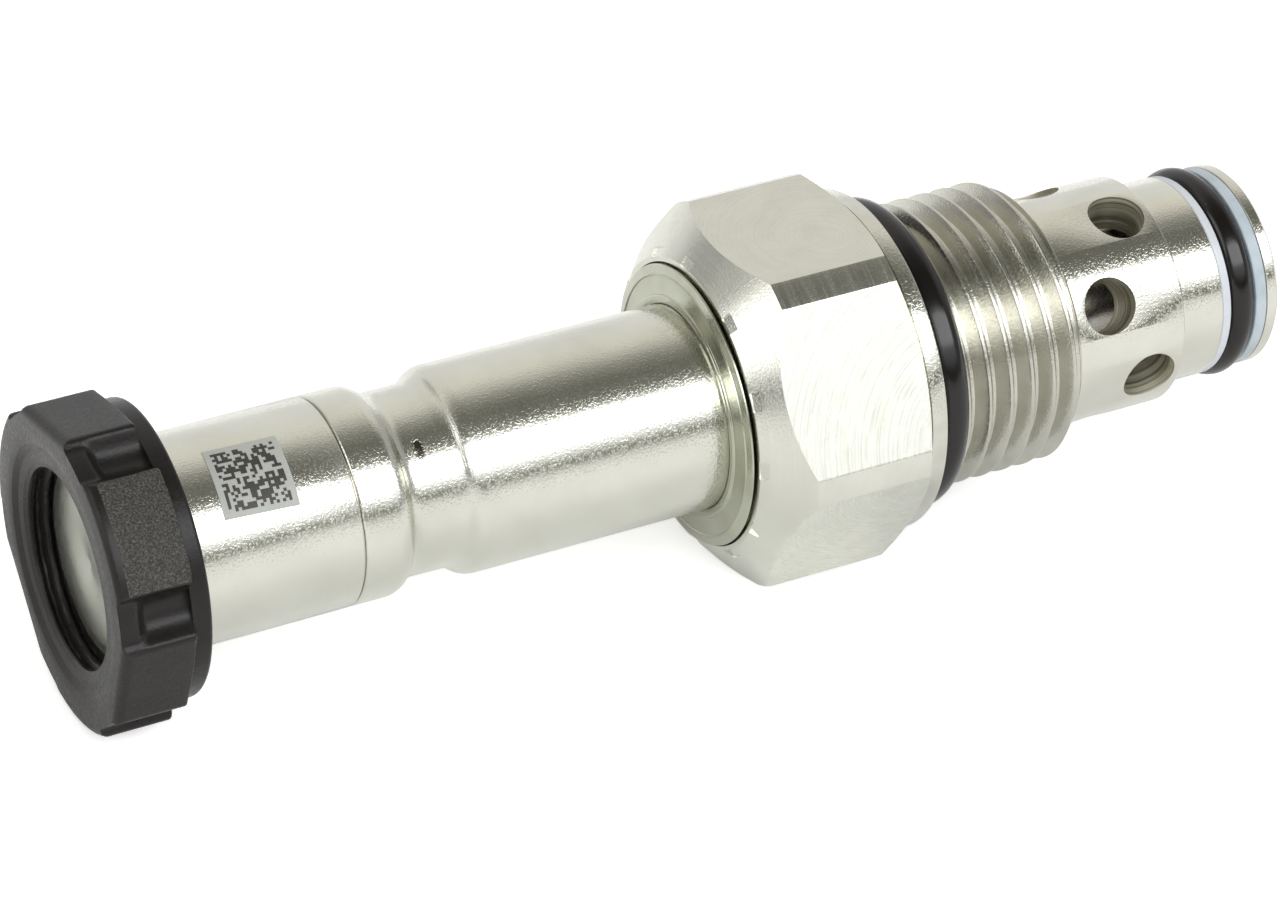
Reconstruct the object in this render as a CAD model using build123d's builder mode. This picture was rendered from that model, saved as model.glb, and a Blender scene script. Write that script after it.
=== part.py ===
from build123d import *

import os
from math import acos, atan2, cos, degrees, radians, sin

# Solenoid poppet cartridge valve, normally closed, without its coil.
# The valve's axis is X. X = 0 is the seat plane of the hexagon's flange, +X points to the
# nose that goes into the cavity, -X to the coil nut, and one flat of the hexagon faces down.
# All sizes are in millimetres. A name that ends in _d is a diameter and one in _x a place on X.

# General fits
slip = 0.02        # between two pieces that are assembled face to face
running = 0.03     # radial clearance of a guided sliding piece
edge_break = 0.15  # broken edge of a turned piece

# Threaded body
thread_d = 18.0
thread_pitch = 1.5
thread_end_x = 11.0
relief_d = 15.4
relief_w = 2.42
relief_slope_w = 0.3
washer_face_d = 21.5
washer_face_h = 1.25
seat_rim_w = 0.75       # the outer rim of the flange that meets the block
seat_relief_h = 0.15    # how far the flange's face is relieved inside that rim
hex_flats = 21.8
hex_bar_d = 24.2        # the bar that the hexagon is milled from
hex_h = 10.85
rear_bevel_h = 0.65
front_bevel_h = 2.45
rim_d = 18.6            # where the front bevel ends
pocket_mouth_d = 17.9

# Stake marks round the pocket's rim, pressed into the bevel
stake_count = 12
stake_angle = 3.5       # elevation of the first mark
stake_w = 1.2
stake_reach = 0.6
stake_depth = 0.15

# Guide tube, rolled into the pole core
tube_d = 12.9
tube_wall = 0.95
tube_end_x = -4.0
seam_x = -36.55
neck_d = 11.36
neck_flat_w = 2.0
neck_x = -31.4
roll_w = 1.95           # length of each rolled flank
seam_gap = 0.06
seam_chamfer = 0.12

# Collar round the tube
collar_d = 17.0
collar_proud = 0.45      # how far the collar stands out of the hexagon's pocket
collar_h = 3.05
lip_w = 0.4
lip_h = 0.2

# Pole core
stud_d = 12.0
stud_end_x = -51.3
stud_shoulder_x = -48.65
stud_chamfer = 0.3
spring_pocket_d = 4.6
core_pocket_h = 4.0

# Armature, stroke and spring
armature_stroke = 2.5
poppet_stroke = 2.0
stop_gap = 0.05
shim_h = 0.2
shim_d = 9.6
armature_rear_x = -24.2
armature_l = 18.2
armature_clear = 0.08
armature_pocket_h = 7.0
armature_slot_w = 1.2
armature_slot_h = 0.9
armature_slots = 4
spring_wire = 0.6
spring_turns = 8
spring_clear = 0.1

# Pilot stem and cross pin
stem_d = 3.0
stem_press_h = 5.0
pin_d = 1.5
pin_x = 4.2
pin_short = 0.3         # how far each end of the pin stays inside the poppet

# Cage
spigot_d = 13.2
spigot_rear_x = -2.5
cage_d = 14.6
cage_bore_d = 9.2
cage_step_x = 18.9
cage_step_w = 0.55
nose_d = 12.9
nose_tip_x = 26.5
port_d = 7.2
seat_x = 18.6
hole_d = 3.6
hole_rows = ((13.85, 30.0), (16.7, 75.0))
holes_per_row = 4
nose_chamfer = 0.25

# Nose seal and its backup rings
nose_seal_w = 1.78
inner_backup_w = 0.61
outer_backup_w = 0.81
backup_short = 0.03     # how far the backup rings stay under the nose's diameter
tip_flange_w = 0.9

# Main poppet
poppet_rear_x = 1.0
poppet_shoulder_x = 12.9
poppet_shoulder_w = 1.0
poppet_stem_d = 6.2
poppet_head_d = 7.86
poppet_head_w = 0.25
poppet_flare_w = 0.6
poppet_cone_w = 1.0
poppet_front_bore_d = 4.0
balance_groove_w = 0.35
balance_groove_h = 0.2
balance_groove_places = (6.6, 8.2, 9.8)
bleed_d = 0.6
bleed_at_r = 3.85

# Pilot seat pressed into the poppet
pilot_seat_x = 9.5
pilot_seat_h = 3.0
pilot_hole_d = 1.0
pilot_mouth_d = 1.8

# Sealing rings
body_seal_w = 2.2
body_seal_x = 1.3
body_seal_inner_d = 15.44
collar_seal_w = 1.4
collar_seal_room = 0.05
core_seal_w = 0.9
core_seal_x = -35.3
core_groove_w = 1.2
nut_seal_w = 1.4

# Coil nut
nut_rear_x = -47.3
nut_front_x = -53.1
nut_rim_d = 18.2
nut_rim_w = 1.25
nut_pad_d = 20.2        # the three grained pads
nut_flat_at_r = 9.25    # the three smooth pads are flat, at this distance from the axis
nut_web_d = 18.9        # the closed disc at the front of the grooves
nut_web_w = 1.05
nut_pads = 6
nut_angle = 42.0        # elevation of the middle of a grained pad
nut_groove_r = 1.65
nut_groove_bottom_d = 17.1
nut_thread_clear = 0.05
nut_seal_room_d = 16.0
nut_dish_inner_d = 12.6
nut_dish_outer_d = 15.0
nut_dish_h = 0.25
nut_mouth = 0.15
nut_rim_chamfer = 0.35
nut_draft = 0.03        # how much the moulded rim widens towards the pads
nut_pad_front_round = 0.5
nut_pad_rear_chamfer = 0.2

# What follows from the sizes above
thread_r, relief_r = thread_d / 2, relief_d / 2
thread_depth = 0.6134 * thread_pitch
crest_w, root_w = thread_pitch / 8, thread_pitch / 6
last_crest_x = thread_end_x - thread_depth - crest_w / 2
rim_x = -(washer_face_h + hex_h)
collar_front_x = rim_x - collar_proud
tube_r, tube_bore_r = tube_d / 2, tube_d / 2 - tube_wall
collar_rear_x = collar_front_x + collar_h
collar_seal_x = collar_rear_x + collar_seal_room / 2 + collar_seal_w / 2
seal_room_end_x = collar_rear_x + collar_seal_w + collar_seal_room
seal_room_r = tube_r + 2 * slip + collar_seal_w
pole_face_x = armature_rear_x - armature_stroke - stop_gap - shim_h
armature_r = tube_bore_r - armature_clear
armature_front_x = armature_rear_x + armature_l
stem_r = stem_d / 2
pocket_r = spring_pocket_d / 2
lost_motion = armature_stroke - poppet_stroke
poppet_r = cage_bore_d / 2 - running
port_r, cage_r, nose_r = port_d / 2, cage_d / 2, nose_d / 2
groove_front_x = nose_tip_x - tip_flange_w
groove_rear_x = groove_front_x - nose_seal_w - inner_backup_w - outer_backup_w - 4 * slip
nose_groove_r = nose_r - 1.5
nut_shoulder_x = stud_shoulder_x - stop_gap


def elevation(radius, angle):
    """Y and Z of a point at this radius, its angle measured up from the -Y side."""
    return -radius * cos(radians(angle)), radius * sin(radians(angle))


def seal_ring(name, x, inner_r, width):
    """A round-section sealing ring with its middle at x."""
    with BuildPart() as ring:
        with BuildSketch(Plane.XY):
            with Locations((x, inner_r + width / 2)):
                Circle(width / 2)
        revolve(axis=Axis.X)
    return finish(name, ring)


def flat_ring(name, rear_x, width, inner_r, outer_r):
    """A ring of rectangular section."""
    with BuildPart() as ring:
        with BuildSketch(Plane.XY):
            with Locations(((rear_x + width / 2), (inner_r + outer_r) / 2)):
                Rectangle(width, outer_r - inner_r)
        revolve(axis=Axis.X)
    return finish(name, ring)


def rolled_flank(side, inset):
    """Half of the rolled neck's line, from the full tube to the neck, inset under the skin.

    side is -1 towards the nut and +1 towards the hexagon. The two arcs share a tangent.
    """
    x_neck = neck_x + side * neck_flat_w / 2
    x_full = x_neck + side * roll_w
    drop = (tube_d - neck_d) / 2
    bend = (roll_w**2 + drop**2) / (4 * drop)
    turn = acos(1 - drop / (2 * bend))
    outer_y, inner_y = tube_r - bend, neck_d / 2 + bend
    outer, inner = bend - inset, bend + inset
    half, whole = turn / 2, turn
    full = [(x_full, outer_y + outer)]
    full.append((x_full - side * outer * sin(half), outer_y + outer * cos(half)))
    meet = (x_full - side * outer * sin(whole), outer_y + outer * cos(whole))
    neck = [(x_neck + side * inner * sin(half), inner_y - inner * cos(half))]
    neck.append((x_neck, inner_y - inner))
    return full + [meet] + neck


def draw_flank(points):
    """Adds a rolled flank's two arcs to the line that is being built."""
    ThreePointArc(points[0], points[1], points[2])
    ThreePointArc(points[2], points[3], points[4])


def rolled_line(start_x, end_x, inset):
    """Adds the tube's line with its rolled neck, from start_x to end_x, inset under the skin."""
    rear, front = rolled_flank(-1, inset), rolled_flank(1, inset)
    radius = tube_r - inset
    Line((start_x, radius), rear[0])
    draw_flank(rear)
    Line(rear[4], front[4])
    draw_flank(front)
    Line(front[0], (end_x, radius))


def finish(name, piece):
    """Labels a finished piece and writes it."""
    piece.part.label = name
    export_step(piece.part, f"parts/{name}.step")
    print(name, round(piece.part.volume, 2))
    return piece


os.makedirs("parts", exist_ok=True)

# Hexagon, flange and thread of the body, in one piece
with BuildPart() as valve_body:
    with BuildSketch(Plane.XY):
        with BuildLine():
            Polyline(
                (rim_x, 0),
                (rim_x, rim_d / 2),
                (rim_x + front_bevel_h, hex_bar_d / 2),
                (-washer_face_h - rear_bevel_h, hex_bar_d / 2),
                (-washer_face_h, hex_flats / 2),
                (-washer_face_h, 0),
                close=True,
            )
        make_face()
    revolve(axis=Axis.X)
    with BuildSketch(Plane.YZ.offset(rim_x)):
        RegularPolygon(hex_flats / 2, 6, major_radius=False)
    extrude(amount=hex_h, mode=Mode.INTERSECT)
    with BuildSketch(Plane.XY):
        with BuildLine():
            Polyline(
                (-washer_face_h, 0),
                (-washer_face_h, washer_face_d / 2),
                (-edge_break, washer_face_d / 2),
                (0, washer_face_d / 2 - edge_break),
                (0, washer_face_d / 2 - seat_rim_w),
                (-seat_relief_h, washer_face_d / 2 - seat_rim_w),
                (-seat_relief_h, relief_r),
                (relief_w, relief_r),
                (relief_w + relief_slope_w, thread_r),
                (thread_end_x - thread_depth, thread_r),
                (thread_end_x, thread_r - thread_depth),
                (thread_end_x, 0),
                close=True,
            )
        make_face()
    revolve(axis=Axis.X)
    with BuildSketch(Plane.XY):
        with BuildLine():
            mouth = (pocket_mouth_d - collar_d) / 2 - slip
            Polyline(
                (rim_x, 0),
                (rim_x, pocket_mouth_d / 2),
                (rim_x + mouth, collar_d / 2 + slip),
                (collar_rear_x, collar_d / 2 + slip),
                (collar_rear_x, seal_room_r),
                (seal_room_end_x, seal_room_r),
                (seal_room_end_x, tube_r + slip),
                (tube_end_x, tube_r + slip),
                (tube_end_x, tube_bore_r),
                (spigot_rear_x, tube_bore_r),
                (spigot_rear_x, spigot_d / 2),
                (thread_end_x, spigot_d / 2),
                (thread_end_x, 0),
                close=True,
            )
        make_face()
    revolve(axis=Axis.X, mode=Mode.SUBTRACT)
    # The thread's form, as ridges without a lead; scene.py has the helix
    with BuildSketch(Plane.XY):
        mouth_w = thread_pitch - crest_w
        valleys = int((last_crest_x - relief_w) / thread_pitch)
        valley_places = [(last_crest_x - (k + 0.5) * thread_pitch, thread_r) for k in range(valleys)]
        with Locations(*valley_places):
            Polygon(
                (-mouth_w / 2, edge_break),
                (-mouth_w / 2, 0),
                (-root_w / 2, -thread_depth),
                (root_w / 2, -thread_depth),
                (mouth_w / 2, 0),
                (mouth_w / 2, edge_break),
                align=None,
            )
    revolve(axis=Axis.X, mode=Mode.SUBTRACT)
    bevel_angle = degrees(atan2((hex_bar_d - rim_d) / 2, front_bevel_h))
    stake_arc = degrees(stake_w / (rim_d / 2))
    for k in range(stake_count):
        stake_start = 180 - stake_angle - stake_arc / 2 + k * 360 / stake_count
        with BuildSketch(Plane.XY.rotated((stake_start, 0, 0))):
            with Locations((rim_x, rim_d / 2)):
                Rectangle(2 * stake_reach, 2 * stake_depth, rotation=bevel_angle)
        revolve(axis=Axis.X, revolution_arc=stake_arc, mode=Mode.SUBTRACT)
finish("valve_body", valve_body)

body_seal_ring = seal_ring("body_seal_ring", body_seal_x, body_seal_inner_d / 2, body_seal_w)

# Cage: spigot, ported sleeve, seat and nose
with BuildPart() as cage:
    with BuildSketch(Plane.XY):
        with BuildLine():
            Polyline(
                (spigot_rear_x, cage_bore_d / 2),
                (spigot_rear_x, spigot_d / 2 - edge_break),
                (spigot_rear_x + edge_break, spigot_d / 2),
                (thread_end_x, spigot_d / 2),
                (thread_end_x, cage_r),
                (cage_step_x, cage_r),
                (cage_step_x + cage_step_w, nose_r),
                (groove_rear_x, nose_r),
                (groove_rear_x, nose_groove_r),
                (groove_front_x, nose_groove_r),
                (groove_front_x, nose_r),
                (nose_tip_x - nose_chamfer, nose_r),
                (nose_tip_x, nose_r - nose_chamfer),
                (nose_tip_x, port_r + nose_chamfer),
                (nose_tip_x - nose_chamfer, port_r),
                (seat_x, port_r),
                (seat_x, cage_bore_d / 2),
                close=True,
            )
        make_face()
    revolve(axis=Axis.X)
    for row_x, first_angle in hole_rows:
        for k in range(holes_per_row):
            y, z = elevation(1, first_angle + 360 / holes_per_row * k)
            with BuildSketch(Plane(origin=(row_x, 0, 0), x_dir=(1, 0, 0), z_dir=(0, y, z))):
                Circle(hole_d / 2)
            extrude(amount=cage_d, mode=Mode.SUBTRACT)
finish("cage", cage)

# Seal of the nose between its two backup rings
inner_backup_x = groove_rear_x + slip
nose_seal_x = inner_backup_x + inner_backup_w + slip + nose_seal_w / 2
outer_backup_x = nose_seal_x + nose_seal_w / 2 + slip
backup_r = nose_r - backup_short
backup_ring_inner = flat_ring(
    "backup_ring_inner", inner_backup_x, inner_backup_w, nose_groove_r + slip, backup_r
)
nose_seal_ring = seal_ring("nose_seal_ring", nose_seal_x, nose_groove_r + slip, nose_seal_w)
backup_ring_outer = flat_ring(
    "backup_ring_outer", outer_backup_x, outer_backup_w, nose_groove_r + slip, backup_r
)

# Main poppet, with its guide land, necked stem and sealing cone
head_x = seat_x - (poppet_head_d / 2 - port_r) - slip
with BuildPart() as main_poppet:
    with BuildSketch(Plane.XY):
        with BuildLine():
            Polyline(
                (poppet_rear_x, 0),
                (poppet_rear_x, poppet_r - edge_break),
                (poppet_rear_x + edge_break, poppet_r),
                (poppet_shoulder_x, poppet_r),
                (poppet_shoulder_x + poppet_shoulder_w, poppet_stem_d / 2),
                (head_x - poppet_head_w - poppet_flare_w, poppet_stem_d / 2),
                (head_x - poppet_head_w, poppet_head_d / 2),
                (head_x, poppet_head_d / 2),
                (head_x + poppet_cone_w, poppet_head_d / 2 - poppet_cone_w),
                (head_x + poppet_cone_w, 0),
                close=True,
            )
        make_face()
    revolve(axis=Axis.X)
    with BuildSketch(Plane.XY):
        for groove_x in balance_groove_places:
            with Locations((groove_x, poppet_r)):
                Rectangle(balance_groove_w, 2 * balance_groove_h)
    revolve(axis=Axis.X, mode=Mode.SUBTRACT)
    with BuildSketch(Plane.YZ.offset(poppet_rear_x)):
        Circle(stem_r + running)
    extrude(amount=pilot_seat_x - poppet_rear_x, mode=Mode.SUBTRACT)
    with BuildSketch(Plane.YZ.offset(head_x + poppet_cone_w)):
        Circle(poppet_front_bore_d / 2)
    extrude(amount=pilot_seat_x - head_x - poppet_cone_w, mode=Mode.SUBTRACT)
    with BuildSketch(Plane.XZ):
        with Locations((pin_x, 0)):
            Circle(pin_d / 2 + slip / 2)
    extrude(amount=cage_bore_d, both=True, mode=Mode.SUBTRACT)
    with BuildSketch(Plane.YZ.offset(poppet_rear_x)):
        with Locations((0, bleed_at_r)):
            Circle(bleed_d / 2)
    extrude(amount=poppet_shoulder_x + poppet_shoulder_w - poppet_rear_x, mode=Mode.SUBTRACT)
finish("main_poppet", main_poppet)

# Pilot seat, pressed into the poppet from its nose
with BuildPart() as pilot_seat:
    with BuildSketch(Plane.XY):
        with BuildLine():
            mouth_h = (pilot_mouth_d - pilot_hole_d) / 2
            Polyline(
                (pilot_seat_x, pilot_mouth_d / 2),
                (pilot_seat_x, poppet_front_bore_d / 2),
                (pilot_seat_x + pilot_seat_h, poppet_front_bore_d / 2),
                (pilot_seat_x + pilot_seat_h, pilot_hole_d / 2),
                (pilot_seat_x + mouth_h, pilot_hole_d / 2),
                close=True,
            )
        make_face()
    revolve(axis=Axis.X)
finish("pilot_seat", pilot_seat)

# Pilot stem: pressed into the armature, slotted for the cross pin, with a pilot cone
cone_start_x = pilot_seat_x - (stem_r - pilot_mouth_d / 2) - running
cone_h = stem_r - pilot_hole_d / 2
with BuildPart() as pilot_stem:
    with BuildSketch(Plane.XY):
        with BuildLine():
            Polyline(
                (armature_front_x - stem_press_h, 0),
                (armature_front_x - stem_press_h, stem_r),
                (cone_start_x, stem_r),
                (cone_start_x + cone_h, stem_r - cone_h),
                (cone_start_x + cone_h, 0),
                close=True,
            )
        make_face()
    revolve(axis=Axis.X)
    with BuildSketch(Plane.XZ):
        with Locations((pin_x + lost_motion / 2, 0)):
            slot_l = lost_motion + pin_d + 2 * running
            SlotOverall(slot_l, pin_d + 2 * running)
    extrude(amount=stem_d, both=True, mode=Mode.SUBTRACT)
finish("pilot_stem", pilot_stem)

# Cross pin through the poppet and the stem's slot
with BuildPart() as cross_pin:
    with BuildSketch(Plane.XZ.offset(-(poppet_r - pin_short))):
        with Locations((pin_x, 0)):
            Circle(pin_d / 2)
    extrude(amount=2 * (poppet_r - pin_short))
    chamfer(cross_pin.edges().filter_by(GeomType.CIRCLE), pin_d / 8)
finish("cross_pin", cross_pin)

# Armature with its spring pocket, stem bore and oil slots
with BuildPart() as armature:
    with BuildSketch(Plane.YZ.offset(armature_rear_x)):
        Circle(armature_r)
    extrude(amount=armature_l)
    chamfer(armature.edges().filter_by(GeomType.CIRCLE), edge_break)
    with BuildSketch(Plane.YZ.offset(armature_rear_x)):
        with PolarLocations(armature_r, armature_slots):
            Rectangle(2 * armature_slot_h, armature_slot_w)
    extrude(amount=armature_l, mode=Mode.SUBTRACT)
    with BuildSketch(Plane.YZ.offset(armature_rear_x)):
        Circle(pocket_r)
    extrude(amount=armature_pocket_h, mode=Mode.SUBTRACT)
    with BuildSketch(Plane.YZ.offset(armature_front_x)):
        Circle(stem_r)
    extrude(amount=-stem_press_h, mode=Mode.SUBTRACT)
finish("armature", armature)

# Anti-stick shim on the pole face
shim_disc = flat_ring("shim_disc", pole_face_x, shim_h, pocket_r, shim_d / 2)

# Closing spring between the core and the armature
spring_r = pocket_r - spring_clear - spring_wire / 2
spring_start_x = pole_face_x - core_pocket_h + slip + spring_wire / 2
spring_end_x = armature_rear_x + armature_pocket_h - slip - spring_wire / 2
spring_l = spring_end_x - spring_start_x
with BuildPart() as armature_spring:
    with BuildLine():
        coil_line = Helix(
            pitch=spring_l / spring_turns,
            height=spring_l,
            radius=spring_r,
            center=(spring_start_x, 0, 0),
            direction=(1, 0, 0),
        )
    with BuildSketch(Plane(origin=coil_line @ 0, z_dir=coil_line % 0)):
        Circle(spring_wire / 2)
    sweep(is_frenet=True)
finish("armature_spring", armature_spring)

# Guide tube, with its rolled neck
with BuildPart() as guide_tube:
    with BuildSketch(Plane.XY):
        with BuildLine():
            rolled_line(seam_x + seam_chamfer, tube_end_x, 0)
            rolled_line(seam_x, tube_end_x, tube_wall)
            Line((tube_end_x, tube_r), (tube_end_x, tube_bore_r))
            Polyline(
                (seam_x, tube_bore_r),
                (seam_x, tube_r - seam_chamfer),
                (seam_x + seam_chamfer, tube_r),
            )
        make_face()
    revolve(axis=Axis.X)
finish("guide_tube", guide_tube)

# Collar that holds the tube in the body's pocket, with a lip rolled against the tube
with BuildPart() as tube_collar:
    with BuildSketch(Plane.XY):
        with BuildLine():
            Polyline(
                (collar_rear_x, tube_r + slip),
                (collar_rear_x, collar_d / 2 - edge_break),
                (collar_rear_x - edge_break, collar_d / 2),
                (collar_front_x + edge_break, collar_d / 2),
                (collar_front_x, collar_d / 2 - edge_break),
                (collar_front_x, tube_r + lip_w),
                (collar_front_x - lip_h, tube_r + lip_w - lip_h / 2),
                (collar_front_x - lip_h, tube_r + slip),
                close=True,
            )
        make_face()
    revolve(axis=Axis.X)
finish("tube_collar", tube_collar)

collar_seal_ring = seal_ring("collar_seal_ring", collar_seal_x, tube_r + slip, collar_seal_w)

# Pole core: threaded stud, head flush with the tube, rolled groove, seal groove and pole face
core_inset = tube_wall + slip
core_groove_r = tube_r - core_inset - core_seal_w
with BuildPart() as pole_core:
    with BuildSketch(Plane.XY):
        with BuildLine():
            rear, front = rolled_flank(-1, core_inset), rolled_flank(1, core_inset)
            Polyline(
                (stud_end_x, 0),
                (stud_end_x, stud_d / 2 - stud_chamfer),
                (stud_end_x + stud_chamfer, stud_d / 2),
                (stud_shoulder_x, stud_d / 2),
                (stud_shoulder_x, tube_r),
                (seam_x - seam_gap - seam_chamfer, tube_r),
                (seam_x - seam_gap, tube_r - seam_chamfer),
                (seam_x - seam_gap, tube_r - core_inset),
                (core_seal_x - core_groove_w / 2, tube_r - core_inset),
                (core_seal_x - core_groove_w / 2, core_groove_r),
                (core_seal_x + core_groove_w / 2, core_groove_r),
                (core_seal_x + core_groove_w / 2, tube_r - core_inset),
                rear[0],
            )
            draw_flank(rear)
            Line(rear[4], front[4])
            draw_flank(front)
            Polyline(
                front[0],
                (pole_face_x - edge_break, tube_r - core_inset),
                (pole_face_x, tube_r - core_inset - edge_break),
                (pole_face_x, pocket_r),
                (pole_face_x - core_pocket_h, pocket_r),
                (pole_face_x - core_pocket_h, 0),
                (stud_end_x, 0),
            )
        make_face()
    revolve(axis=Axis.X)
finish("pole_core", pole_core)

core_seal_ring = seal_ring("core_seal_ring", core_seal_x, core_groove_r, core_seal_w)

# Coil nut, moulded: rim, three grained and three flat pads with grooves between, closed front disc
nut_pads_rear_x = nut_rear_x - nut_rim_w
nut_web_x = nut_front_x + nut_web_w
nut_groove_at_r = nut_groove_bottom_d / 2 + nut_groove_r
groove_start = 180 - nut_angle - 180 / nut_pads
with BuildPart() as coil_nut:
    with BuildSketch(Plane.YZ.offset(nut_pads_rear_x)):
        Circle(nut_pad_d / 2)
        flat_h = nut_pad_d / 2 - nut_flat_at_r
        with PolarLocations(
            nut_flat_at_r + flat_h / 2, nut_pads // 2, start_angle=180 - nut_angle - 360 / nut_pads
        ):
            Rectangle(flat_h, nut_pad_d, mode=Mode.SUBTRACT)
    extrude(amount=nut_front_x - nut_pads_rear_x)
    fillet(coil_nut.edges().group_by(Axis.X)[0], nut_pad_front_round)
    chamfer(coil_nut.edges().group_by(Axis.X)[-1], nut_pad_rear_chamfer)
    with BuildSketch(Plane.YZ.offset(nut_pads_rear_x)):
        with PolarLocations(nut_groove_at_r, nut_pads, start_angle=groove_start):
            Circle(nut_groove_r)
    extrude(amount=nut_web_x - nut_pads_rear_x, mode=Mode.SUBTRACT)
    with BuildSketch(Plane.YZ.offset(nut_web_x)):
        with PolarLocations(nut_groove_at_r, nut_pads, start_angle=groove_start):
            Circle(nut_groove_r)
        Circle(nut_web_d / 2, mode=Mode.SUBTRACT)
    extrude(amount=-nut_web_w, mode=Mode.SUBTRACT)
    with BuildSketch(Plane.XY):
        with BuildLine():
            Polyline(
                (nut_pads_rear_x, 0),
                (nut_pads_rear_x, nut_rim_d / 2 + nut_draft),
                (nut_rear_x - nut_rim_chamfer, nut_rim_d / 2),
                (nut_rear_x, nut_rim_d / 2 - nut_rim_chamfer),
                (nut_rear_x, 0),
                close=True,
            )
        make_face()
    revolve(axis=Axis.X)
    with BuildSketch(Plane.XY):
        with BuildLine():
            nut_bore_r = stud_d / 2 + nut_thread_clear
            Polyline(
                (nut_rear_x, 0),
                (nut_rear_x, nut_seal_room_d / 2),
                (nut_shoulder_x, nut_seal_room_d / 2),
                (nut_shoulder_x, nut_bore_r),
                (nut_front_x + nut_mouth, nut_bore_r),
                (nut_front_x, nut_bore_r + nut_mouth),
                (nut_front_x, 0),
                close=True,
            )
        make_face()
        with BuildLine():
            Polyline(
                (nut_front_x, nut_dish_inner_d / 2),
                (nut_front_x + nut_dish_h, nut_dish_inner_d / 2),
                (nut_front_x, nut_dish_outer_d / 2),
                close=True,
            )
        make_face()
    revolve(axis=Axis.X, mode=Mode.SUBTRACT)
finish("coil_nut", coil_nut)

nut_seal_x = (nut_rear_x + nut_shoulder_x) / 2
nut_seal_ring = seal_ring(
    "nut_seal_ring", nut_seal_x, tube_r + armature_clear, nut_seal_w - 2 * slip
)
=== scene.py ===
"""Looks of a poppet cartridge valve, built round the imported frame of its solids.

The valve's axis is X. The flange's seat plane is X = 0, the nose points to +X, the coil nut to -X,
and one flat of the hexagon faces down. Sizes here are in millimetres and meshes are in metres.
An angle round the axis is an elevation: 0 faces -Y, 90 faces +Z.
"""

import logging
import math
from dataclasses import dataclass, field
from enum import Enum

import bmesh
import bpy
import numpy as np
from mathutils import Matrix, Vector


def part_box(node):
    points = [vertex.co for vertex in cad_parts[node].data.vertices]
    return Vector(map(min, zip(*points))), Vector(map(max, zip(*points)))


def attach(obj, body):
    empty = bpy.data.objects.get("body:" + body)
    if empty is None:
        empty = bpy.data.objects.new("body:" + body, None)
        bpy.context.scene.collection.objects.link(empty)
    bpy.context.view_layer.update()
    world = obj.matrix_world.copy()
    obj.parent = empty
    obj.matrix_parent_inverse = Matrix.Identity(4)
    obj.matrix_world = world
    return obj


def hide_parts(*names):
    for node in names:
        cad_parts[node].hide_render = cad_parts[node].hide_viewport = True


MM = 0.001
SHARP_DEG = 32.0
NOISE_ROUGHNESS = 0.55
MIDDLE = (0.3, 0.7)
Thing = bpy.types.Object
Material = bpy.types.Material
NodeTree = bpy.types.NodeTree
Socket = bpy.types.NodeSocket
Rows = list[tuple]
log = logging.getLogger("valve")
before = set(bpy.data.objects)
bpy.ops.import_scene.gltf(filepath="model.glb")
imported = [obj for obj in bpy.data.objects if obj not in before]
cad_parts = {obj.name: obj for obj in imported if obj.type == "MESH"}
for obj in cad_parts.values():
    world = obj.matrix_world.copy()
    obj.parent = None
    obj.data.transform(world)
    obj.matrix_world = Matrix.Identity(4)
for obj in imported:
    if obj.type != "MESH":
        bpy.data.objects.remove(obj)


# Small tools for shapes

@dataclass(frozen=True)
class Span:
    """The box of a CAD node in millimetres: its ends on the axis, half width, top and bottom."""

    rear: float
    front: float
    radius: float
    height: float
    low: float


def span(node: str) -> Span:
    """Reads where a CAD node lies.

    Args:
        node: the node's name.

    Returns:
        Its ends on X, its half width on Y, and its highest and lowest Z.
    """
    low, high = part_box(node)
    return Span(low.x / MM, high.x / MM, high.y / MM, high.z / MM, low.z / MM)


def around(steps: int) -> np.ndarray:
    """Equal angles round the axis, in radians."""
    return np.linspace(0.0, math.tau, steps, endpoint=False)


def soften(points: list[tuple[float, ...]], steps: int = 4) -> list[tuple[float, float]]:
    """Rounds the corners of a closed outline.

    Args:
        points: (x, r) or (x, r, corner radius) of each corner, in order.
        steps: pieces in each corner's arc.

    Returns:
        The outline's points with arcs at the corners that have a radius.
    """
    made: list[tuple[float, float]] = []
    for k, point in enumerate(points):
        radius = point[2] if len(point) > 2 else 0.0
        here = Vector(point[:2])
        back = Vector(points[k - 1][:2]) - here
        ahead = Vector(points[(k + 1) % len(points)][:2]) - here
        if radius <= 0 or back.length < 1e-9 or ahead.length < 1e-9:
            made.append((here.x, here.y))
            continue
        half = back.angle(ahead) / 2
        run = min(radius / math.tan(half), 0.48 * back.length, 0.48 * ahead.length)
        start, end = here + back.normalized() * run, here + ahead.normalized() * run
        middle = (back.normalized() + ahead.normalized()).normalized()
        centre = here + middle * (run / math.cos(half))
        size = run * math.tan(half)
        for i in range(steps + 1):
            chord = start.lerp(end, i / steps) - centre
            spot = centre + chord.normalized() * size
            made.append((spot.x, spot.y))
    return made


def wrapped(rows: Rows, angles: np.ndarray, closed: bool = True) -> np.ndarray:
    """Wraps rows round the axis.

    Args:
        rows: (x, r) of each row in millimetres, each a number or one value for every angle.
        angles: the columns' angles.
        closed: True if the last row meets the first, as in a ring's section.

    Returns:
        A grid of points in metres, whose first column is repeated at its end.
    """
    count = len(angles)
    x = np.stack([np.broadcast_to(np.asarray(row[0], float), count) for row in rows])
    r = np.stack([np.broadcast_to(np.asarray(row[1], float), count) for row in rows])
    grid = np.stack([x, -r * np.cos(angles), r * np.sin(angles)], axis=2) * MM
    grid = np.concatenate([grid, grid[:, :1]], axis=1)
    return np.concatenate([grid, grid[:1]], axis=0) if closed else grid


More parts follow.
